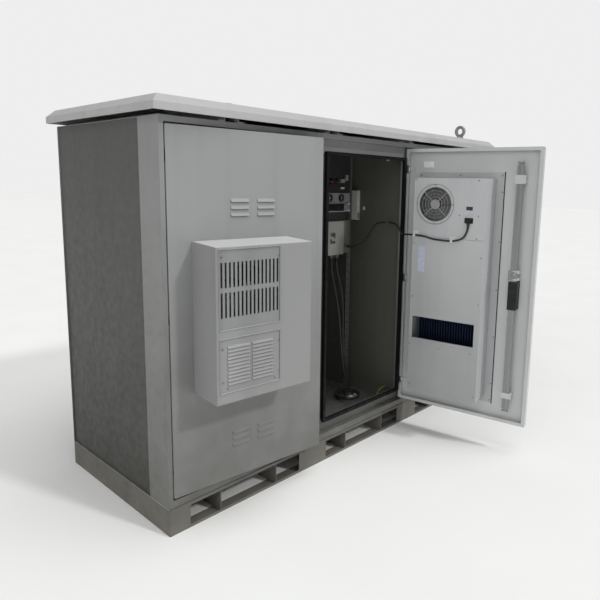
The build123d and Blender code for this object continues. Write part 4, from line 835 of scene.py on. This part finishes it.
class Finishes:
    """All finishes of the cabinet, and which CAD node takes which."""

    def __init__(self) -> None:
        """Builds every material once."""
        self.made = {finish.name: finish.build() for finish in FINISHES}
        self.nodes = {n: self[name] for name, nodes in NODE_GROUPS.items() for n in nodes.split()}
        for seat in (LEFT_DOOR, MIDDLE_DOOR, RIGHT_DOOR):
            # Each door's inner side takes the lighter inside colour, painted light.
            self.nodes[seat.body] = PowderCoat(
                f"{seat.body}_paint", DOOR_GREY, 0.42, LOW_DARKENING, 1.2, 0.9, low_tint_even=0.72,
                inward=seat.inward(),
            ).build()

    def __getitem__(self, name: str) -> bpy.types.Material:
        """The material of the finish of this name."""
        return self.made[name]

    def dress(self) -> None:
        """Gives every CAD node its finish."""
        for name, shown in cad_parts.items():
            material = self.nodes.get(name, self["cover_paint"])
            shown.data.materials.clear()
            shown.data.materials.append(material)
            log.info("%s takes %s", name, material.name)

    def piece(
        self, name: str, seat: Seat, shape: Shape, finish: str = "white_moulding",
        slot: str = "white_plastic",
    ) -> None:
        """Makes a drawn shape a piece that rides on its seat's body.

        Args:
            name: The piece's name.
            seat: What it is on.
            shape: Drawn points and faces.
            finish: Name of its finish.
            slot: The record's slot that the finish stands for. Not used.
        """
        points, faces = shape
        piece = show_mesh(name, seat.place(points), faces.tolist(), self[finish])
        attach(piece, seat.body)
        log.info("%s: %d faces on %s", name, len(piece.data.polygons), seat.body)


@dataclass
class Fasteners:
    """Screws and rivets, in each seat's drawn place.

    A screw's place is its drawn x and z; on the walls it is y, x and z.
    """

    finishes: Finishes
    radius: float = 4.2
    height: float = 2.4
    hood_face: float = -176.0
    unit_face: float = 150.0
    guard_face: float = 152.0
    flange_face: float = 4.0
    rack_face: float = -88.0
    box_face: float = -125.0
    bays: Place = (-800.0, 0.0, 800.0)
    rim_half: float = 378.0
    rim_deep: float = 450.0
    cover_low: float = 145.0
    cover_high: float = 1599.0
    cover_rows: int = 6
    hood_screws: tuple = (
        (-251, 782), (-249, 653), (5, 777), (3, 650), (-231, 626), (-16, 625), (-252, 1128),
        (3, 1120),
    )
    flange_screws: tuple = (
        (-290, 1460), (-59, 1460), (169, 1460), (172, 1375), (172, 1116), (172, 860), (172, 603),
        (172, 344), (-290, 1200), (-290, 940), (-290, 680), (-290, 420), (-290, 250), (-59, 250),
        (169, 250),
    )
    cover_screws: tuple = (
        (-248, 1434), (95, 1431), (99, 1137), (-248, 1094), (129, 1041), (-251, 530), (-77, 530),
        (97, 530), (129, 300), (-245, 300), (129, 800), (-245, 800),
    )
    guard_screws: tuple = ((-135, 1404), (-135, 1206), (-36, 1305), (-234, 1305))
    socket_screws: tuple = ((2, 1254), (102, 1253))
    rack_half: float = 234.0
    rack_rows: tuple = (1370, 1571, 1307, 1336, 1252, 1281, 1202, 1228, 1010, 1176)
    box_screws: tuple = (
        (-143, 1004), (145, 1004), (-143, 1182), (145, 1182), (-20, 1182), (-20, 1004),
    )
    wall_screws: tuple = (
        (99, 345, 1299), (95, 345, 1023), (99, 345, 1560), (99, 345, 700), (99, 345, 400),
        (-300, 345, 1560), (-300, 345, 1300), (-300, 345, 900), (-300, 345, 500),
    )

    def heads(
        self, name: str, seat: Seat, spots: tuple, face: float | None, facing: int, size: float
    ) -> None:
        """Makes one group of screw heads, which face along drawn y or along x.

        Args:
            name: The piece's name.
            seat: What they are on.
            spots: Drawn x and z of each head, or y, x and z of heads along x.
            face: Drawn y of the face that they sit on, or None for heads along x.
            facing: -1 for heads that face down their axis, 1 for up it.
            size: Their size over the usual one.
        """
        head = screw_head(self.radius * size, self.height * size, facing)
        places = np.array(spots, float)
        if face is None:
            points, faces = repeat(*head, places, np.linspace(0, np.pi, len(places)))
            points = points[:, [1, 0, 2]]
        else:
            turns = np.random.default_rng(len(name)).uniform(0, np.pi, len(places))
            points, faces = repeat(*head, np.insert(places, 1, face, axis=1), turns)
        self.finishes.piece(name, seat, (points, faces), "screw_steel", STEEL)

    def rims(self, out: float) -> tuple:
        """Row y, x and z of the screws in the covers' rims at x out from each bay."""
        rows = np.linspace(self.cover_low, self.cover_high, self.cover_rows)
        return tuple((self.rim_deep, bay + out, z) for bay in self.bays for z in rows)

    def build(self) -> None:
        """Makes all groups."""
        rack = tuple((side * self.rack_half, z) for side in (-1, 1) for z in self.rack_rows)
        for row in (
            ("hood_screws", LEFT_DOOR, self.hood_screws, self.hood_face, -1, 1.0),
            ("unit_flange_screws", MIDDLE_DOOR, self.flange_screws, self.flange_face, 1, 1.0),
            ("unit_cover_screws", MIDDLE_DOOR, self.cover_screws, self.unit_face, 1, 0.9),
            ("unit_guard_screws", MIDDLE_DOOR, self.guard_screws, self.guard_face, 1, 1.0),
            ("unit_socket_screws", MIDDLE_DOOR, self.socket_screws, self.unit_face, 1, 0.8),
            ("rack_screws", CABINET, rack, self.rack_face, -1, 0.9),
            ("box_screws", CABINET, self.box_screws, self.box_face, -1, 0.8),
            ("rear_cover_screws_left", CABINET, self.rims(-self.rim_half), None, -1, 1.2),
            ("rear_cover_screws_right", CABINET, self.rims(self.rim_half), None, 1, 1.2),
            ("wall_screws", CABINET, self.wall_screws, None, -1, 0.9),
        ):
            self.heads(*row)


@dataclass
class SmallParts:
    """Plates, blocks, sleeves, rings, panel edges, the latch's cam plate and the roof's plug.

    A slab's row has its name, seat, lowest and highest drawn corner and bevel,
    and its finish and slot where they aren't the white moulding's. A breaker
    block's row has its x, z, width, height and finish. A sleeve's row has its
    name, seat, the drawn place of its wide end, its axis, its sign along it,
    its cable's radius and its wide radius.
    """

    finishes: Finishes
    plug_place: Place = (-890.0, -427.0, 1699.0)
    plug_profile: tuple = ((0, 0), (18, 0), (18, 2.2), (16.7, 4.4), (10, 5.4), (0, 5.8))
    panel_sides: tuple[float, float] = (-262.0, 7.0)
    panel_face: tuple[float, float] = (-180.5, -177.0)
    panel_edge: float = 4.0
    panel_bevel: float = 0.8
    cam_place: Place = (271, 55.6, 956)
    cam_ends: tuple[float, float] = (-25, 34)
    cam_half: float = 27
    cam_taper: float = 0.3
    cam_bolts: tuple = ((-18, 0, -18), (-18, 0, 0), (-18, 0, 18))
    boss_profile: tuple = ((0, 0), (11, 0), (11, 5), (9.5, 7), (5, 7), (5, 9), (0, 9))
    bolt_profile: tuple = ((0, 0), (4.5, 0), (4.5, 6.5), (3.5, 7.5), (0, 7.5))
    tray_fans: tuple = ((66.5, -89.0, 1321.5), (165.5, -89.0, 1321.5))
    tray_rings: Place = (22.5, 15.5, 9.5)
    tray_wire: float = 1.3
    hub_profile: tuple = ((0, 0), (7, 0), (7, -2), (6, -2.8), (0, -2.8))
    inlet_place: Place = (-135.0, 150.6, 1305.0)
    inlet_radius: float = 96.5
    inlet_edge: float = 5.0
    inlet_flat: float = 0.7
    sleeve_length: float = 26.0
    sleeve_rings: int = 13
    sleeve_sides: int = 18
    sleeve_wall: float = 0.6
    sleeve_ribs: tuple[float, float] = (0.5, -0.2)
    block_face: tuple[float, float] = (-100, -88)
    breaker_blocks: tuple = (
        (150, 1408, 34, 22, "tray_paint"),
        (150, 1372, 30, 12, "white_moulding"),
        (190, 1420, 22, 34, "tray_paint"),
        (20, 1408, 18, 26, "white_moulding"),
        (-40, 1400, 34, 40, "black_moulding"),
        (-110, 1400, 34, 40, "black_moulding"),
        (-180, 1400, 34, 40, "black_moulding"),
    )
    plates: tuple = (
        ("door_plate", MIDDLE_DOOR, (-277, 2, 1501), (-216, 3, 1534), 0.4, "bare_plate"),
        ("unit_plate", MIDDLE_DOOR, (-224, 150, 940), (-182, 150.8, 1083), 0.3, "bare_sheet"),
        ("display", MIDDLE_DOOR, (36.5, 149.2, 1281), (70.5, 149.9, 1299), 0.3, "blue_pane", BLACK),
        ("unit_window", CABINET, (-216, -89.4, 1246), (190, -88, 1288), 0.5, "dark_pane", BLACK),
    )
    fittings: tuple = (
        ("unit_latch_high", CABINET, (222, -93, 1281), (240, -87.5, 1292), 1),
        ("unit_latch_low", CABINET, (222, -93, 1242), (240, -87.5, 1253), 1),
        ("duct_clip", CABINET, (321, -84, 1194), (343, -78.5, 1232), 1.5, "switch_moulding"),
        ("wall_tab", CABINET, (339, -122, 1250), (345, -108, 1270), 1),
        ("unit_gasket", MIDDLE_DOOR, (180, 2, 231), (184, 7, 1480), 1, "seal", "seal_rubber"),
        ("clip_base_1", MIDDLE_DOOR, (-256, 149.5, 1142), (-224, 152, 1162), 0.8),
        ("clip_base_2", MIDDLE_DOOR, (-48, 149.5, 1123), (-16, 152, 1143), 0.8),
        ("header_strike", CABINET, (176, -404, 1529), (204, -400.5, 1539), 0.8, "zinc", STEEL),
        ("floor_connector_1", CABINET, (180, -190, 114), (204, -160, 132), 2),
        ("floor_connector_2", CABINET, (243, -174, 114), (261, -150, 127), 2),
    )
    sleeves: tuple = (
        ("plug_sleeve", MIDDLE_DOOR, (53.5, 159, 1215), Axis.Z, -1, 5, 8),
        ("gland_sleeve", CABINET, (206, -107.5, 1038), Axis.Y, -1, 5, 8.5),
        ("box_sleeve_1", CABINET, (130, -90, 976), Axis.Z, -1, 7, 10.5),
        ("box_sleeve_2", CABINET, (92, -85, 976), Axis.Z, -1, 7, 10.5),
        ("floor_sleeve_1", CABINET, (214, -135, 135), Axis.Z, 1, 7, 10.5),
        ("floor_sleeve_2", CABINET, (168, -155, 135), Axis.Z, 1, 7, 10.5),
    )

    def slabs(self) -> None:
        """Makes the bevelled plates and blocks."""
        front, back = self.block_face
        blocks = tuple(
            (f"breaker_block_{n}", CABINET, (x, front, z), (x + w, back, z + h), 1.2, look, BLACK)
            for n, (x, z, w, h, look) in enumerate(self.breaker_blocks, 1)
        )
        for name, seat, low, high, bevel, *looks in self.plates + blocks + self.fittings:
            self.finishes.piece(name, seat, block(low, high, bevel), *looks)

    def sleeve(
        self, name: str, seat: Seat, start: Place, axis: Axis, sign: int, radius: float, wide: float
    ) -> None:
        """Makes a ribbed, tapered sleeve where a cable leaves a fitting.

        Its radius falls evenly from the wide end to just over the cable's, and
        every other ring of points stands a little proud.

        Args:
            name: The piece's name.
            seat: What it is on.
            start: Drawn place of the wide end.
            axis: Axis that it lies along.
            sign: 1 or -1 along the axis.
            radius: The cable's radius.
            wide: Radius of the wide end.
        """
        step, length = np.linspace(0, 1, self.sleeve_rings), self.sleeve_length * sign
        ribs = np.where(np.arange(self.sleeve_rings) % 2 == 0, *self.sleeve_ribs)
        reach = wide + (radius + self.sleeve_wall - wide) * step + ribs
        profile = ((0, 0), *zip(reach, step * length), (0, length))
        shape = turned(profile, self.sleeve_sides)
        shape = moved(upright(shape) if axis is Axis.Z else shape, start)
        self.finishes.piece(name, seat, shape, "cable", "cable_black")

    def panel_edges(self, name: str, low: float, high: float) -> None:
        """Makes the folded edge round one panel of the hood.

        Args:
            name: The piece's name.
            low: Height of the panel's lower edge.
            high: Height of its upper edge.
        """
        left, right, wide = *self.panel_sides, self.panel_edge
        front, back = self.panel_face
        strips = (
            (left - wide, low - wide, right + wide, low),
            (left - wide, high, right + wide, high + wide),
            (left - wide, low, left, high),
            (right, low, right + wide, high),
        )
        bars = [block((a, front, b), (c, back, d), self.panel_bevel) for a, b, c, d in strips]
        self.finishes.piece(name, LEFT_DOOR, joined(bars), "hood_paint", "paint_grey")

    def cam(self) -> None:
        """Makes the bolted cam plate on the open door's middle rod guide.

        Its height falls evenly from the bolted side to the bent end.
        """
        left, right = self.cam_ends
        plate = block((left, 0, -self.cam_half), (right, 4, self.cam_half), 1.0)
        plate[0][:, 2] *= np.interp(plate[0][:, 0], self.cam_ends, (1.0, self.cam_taper))
        end = block((right - 11, 0, -8), (right, 10, 8), 1.2)
        bolts = [moved(turned(self.bolt_profile), place) for place in self.cam_bolts]
        shape = moved(joined([turned(self.boss_profile), plate, end, *bolts]), self.cam_place)
        self.finishes.piece("rod_guide_boss", MIDDLE_DOOR, shape, "rod_zinc", "handle_metal")

    def fan_rings(self) -> None:
        """Makes the wire guards and the bare discs over the tray's two fans."""
        for n, place in enumerate(self.tray_fans, 1):
            for k, radius in enumerate(self.tray_rings, 1):
                shape = moved(ring(radius, self.tray_wire), place)
                self.finishes.piece(f"tray_guard_{n}_{k}", CABINET, shape, "black_moulding", BLACK)
            shape = moved(turned(self.hub_profile), place)
            self.finishes.piece(f"tray_hub_{n}", CABINET, shape, "tray_paint", BLACK)

    def inlet(self) -> None:
        """Makes the bright rolled edge round the heat exchanger's fan opening."""
        points, faces = ring(self.inlet_radius, self.inlet_edge, 64, 10)
        shape = points * (1, self.inlet_flat, 1) + self.inlet_place, faces
        self.finishes.piece("fan_inlet_edge", MIDDLE_DOOR, shape, "unit_paint", "unit_paint")

    def plug(self) -> None:
        """Closes the front left eye's place on the roof with a low round cap."""
        shape = moved(upright(turned(self.plug_profile)), self.plug_place)
        self.finishes.piece("roof_plug", CABINET, shape, "roof_painted_light", "paint_grey")

    def build(self) -> None:
        """Makes all of them."""
        self.slabs()
        for row in self.sleeves:
            self.sleeve(*row)
        self.panel_edges("grille_edges", 855.0, 1154.0)
        self.panel_edges("louvre_edges", 612.0, 818.0)
        self.cam()
        self.fan_rings()
        self.inlet()
        self.plug()


@dataclass(frozen=True)
class Cord:
    """One cable; its points repeat its solid's route, in millimetres."""

    name: str
    node: str
    body: str
    points: tuple[Place, ...]
    radius: float
    length: float
    finish: str
    slot: str = "cable_black"
    stiffness: str = "medium"
    lay: str = "hanging"
    far_end: str = "object"

    def line(self, bevel: float) -> bpy.types.Object:
        """Smooth line with the route's points as its control points.

        Args:
            bevel: Radius of the tube round it, or 0 for the bare line.

        Returns:
            The curve object.
        """
        data = bpy.data.curves.new(self.name, "CURVE")
        data.dimensions = "3D"
        data.bevel_depth = bevel
        data.bevel_resolution = 4
        data.use_fill_caps = bevel > 0
        spline = data.splines.new("NURBS")
        spline.points.add(len(self.points) - 1)
        placed = np.column_stack([np.array(self.points) * MM, np.ones(len(self.points))])
        spline.points.foreach_set("co", placed.ravel())
        spline.order_u = 3
        spline.use_endpoint_u = True
        spline.resolution_u = 12
        return show(self.name, data)

    def declare(self, shown: bpy.types.Object, path: list | None = None) -> None:
        """Does nothing with the cable.

        Args:
            shown: The piece. Not used.
            path: The line that a mesh tube follows. Not used.
        """

    def build(self, finishes: Finishes) -> None:
        """Makes the cable as a curve that rides on its body.

        Args:
            finishes: The finishes.
        """
        shown = self.line(self.radius * MM)
        shown.data.materials.append(finishes[self.finish])
        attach(shown, self.body)
        if self.node:
            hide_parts(self.node)
        self.declare(shown)
        log.info("%s follows %d points on %s", self.name, len(self.points), self.body)


@dataclass(frozen=True)
class HingeCord(Cord):
    """Cable that bends over the middle door's hinge, as a mesh tube."""

    sides: int = 14

    def build(self, finishes: Finishes) -> None:
        """Makes the tube round the smooth line, which runs over the hinge.

        Rings of points stand square to the line: each ring's two directions
        are the line's direction crossed with the vertical, and that crossed
        with the line's direction again.

        Args:
            finishes: The finishes.
        """
        bare = self.line(0.0)
        line = bpy.data.meshes.new_from_object(bare)
        path = np.array([vertex.co for vertex in line.vertices])
        bpy.data.objects.remove(bare)
        ahead = np.gradient(path, axis=0)
        ahead /= np.linalg.norm(ahead, axis=1, keepdims=True)
        across = np.cross(ahead, (0.0, 0.0, 1.0))
        across /= np.linalg.norm(across, axis=1, keepdims=True)
        up = np.cross(across, ahead)
        angle = circle(self.sides)[None, :, None]
        rim = np.cos(angle) * across[:, None] + np.sin(angle) * up[:, None]
        points = path[:, None] + rim * self.radius * MM
        last = (len(path) - 1) * self.sides
        caps = [tuple(range(self.sides)), tuple(range(last + self.sides - 1, last - 1, -1))]
        faces = grid_faces(len(path), self.sides).tolist() + caps
        shown = show_mesh(self.name, points, faces, finishes[self.finish])
        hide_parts(self.node)
        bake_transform(shown)
        self.declare(shown, path.tolist())
        log.info("%s bends over the hinge along %d points", self.name, len(path))


@dataclass
class Wiring:
    """All cables of the middle bay and its door, with their routes in millimetres."""

    finishes: Finishes
    first: tuple = (
        (130, -90, 975), (130, -90, 916.3), (150, -100, 836.6), (165, -111, 744.3),
        (168, -117, 656.2), (166, -121, 559.7), (163, -125, 463.2), (170, -129, 370.9),
        (190, -133, 287.0), (214, -135, 207.3), (214, -135, 136),
    )
    second: tuple = (
        (92, -85, 975), (92, -85, 916.3), (98, -101, 828.2), (112, -115, 735.9),
        (121, -127, 643.6), (124, -136, 547.1), (128, -143, 450.6), (138, -148, 362.5),
        (152, -152, 278.6), (168, -155, 207.3), (168, -155, 136),
    )
    inside: tuple = (
        (296, -335, 1190), (296, -255, 1190), (282, -219, 1130), (252, -209, 1082),
        (206, -173, 1038), (206, -108, 1038),
    )
    outside: tuple = ((296, -335, 1190), (296, -405, 1190), (262, -455, 1128))
    earth: tuple = ((255, -325, 130), (255, -325, 174), (283, -329, 198), (329, -329, 198))
    coil_turns: float = 2.6
    coil_centre: Place = (190.0, -150.0, 120.0)
    coil_radius: float = 62.0
    coil_growth: float = 6.0
    coil_rise: float = 10.0
    coil_points: int = 32

    def on_door(self, *points: Place) -> tuple:
        """Takes points drawn on the middle door to the row frame, all in millimetres."""
        return tuple(map(tuple, MIDDLE_DOOR.place(np.array(points, float)) / MM))

    def coil(self) -> tuple:
        """Route of the spare cable, a spiral that grows and rises evenly with its turns.

        Returns:
            The route's points in millimetres.
        """
        turns = np.linspace(0.0, self.coil_turns, self.coil_points)
        reach, angle = self.coil_radius + self.coil_growth * turns, turns * 2 * np.pi
        rise = self.coil_rise * turns
        spiral = np.column_stack([reach * np.cos(angle), reach * np.sin(angle), rise])
        return tuple(map(tuple, spiral + self.coil_centre))

    def build(self) -> None:
        """Makes every cable."""
        door = self.on_door(
            (53.5, 159, 1214), (53.5, 159, 1158), (4, 159, 1120), (-70, 159, 1118),
            (-140, 159, 1122), (-196, 159, 1138), (-250, 159, 1138),
        )
        over = self.outside + self.on_door((-305, 159, 1138), (-250, 159, 1138))
        coil, jacket = self.coil(), "cable_jacket"
        for cord in (
            Cord("spare_coil", "", "cabinet", coil, 5, 1130, jacket, lay="coiled", far_end="bare"),
            Cord("box_cable_1", "box_cables", "cabinet", self.first, 7, 849, jacket),
            Cord("box_cable_2", "box_cables", "cabinet", self.second, 7, 848, jacket),
            Cord("rack_lead", "cabinet_lead", "cabinet", self.inside, 5, 328, "cable"),
            Cord("unit_lead", "door_lead", "middle_door", door, 5, 366, "cable"),
            Cord(
                "floor_earth", "earth_wire", "cabinet", self.earth, 3, 121.5, "green_yellow",
                "earth_cable",
            ),
            HingeCord("bending_lead", "hinge_lead", "middle_door", over, 5, 257, "cable"),
        ):
            cord.build(self.finishes)


def main() -> None:
    """Builds the studio and every piece in order."""
    logging.basicConfig(level=logging.INFO, format="%(message)s")
    Studio().build()
    finishes = Finishes()
    finishes.dress()
    Fasteners(finishes).build()
    SmallParts(finishes).build()
    Wiring(finishes).build()


if __name__ == "__main__":
    main()
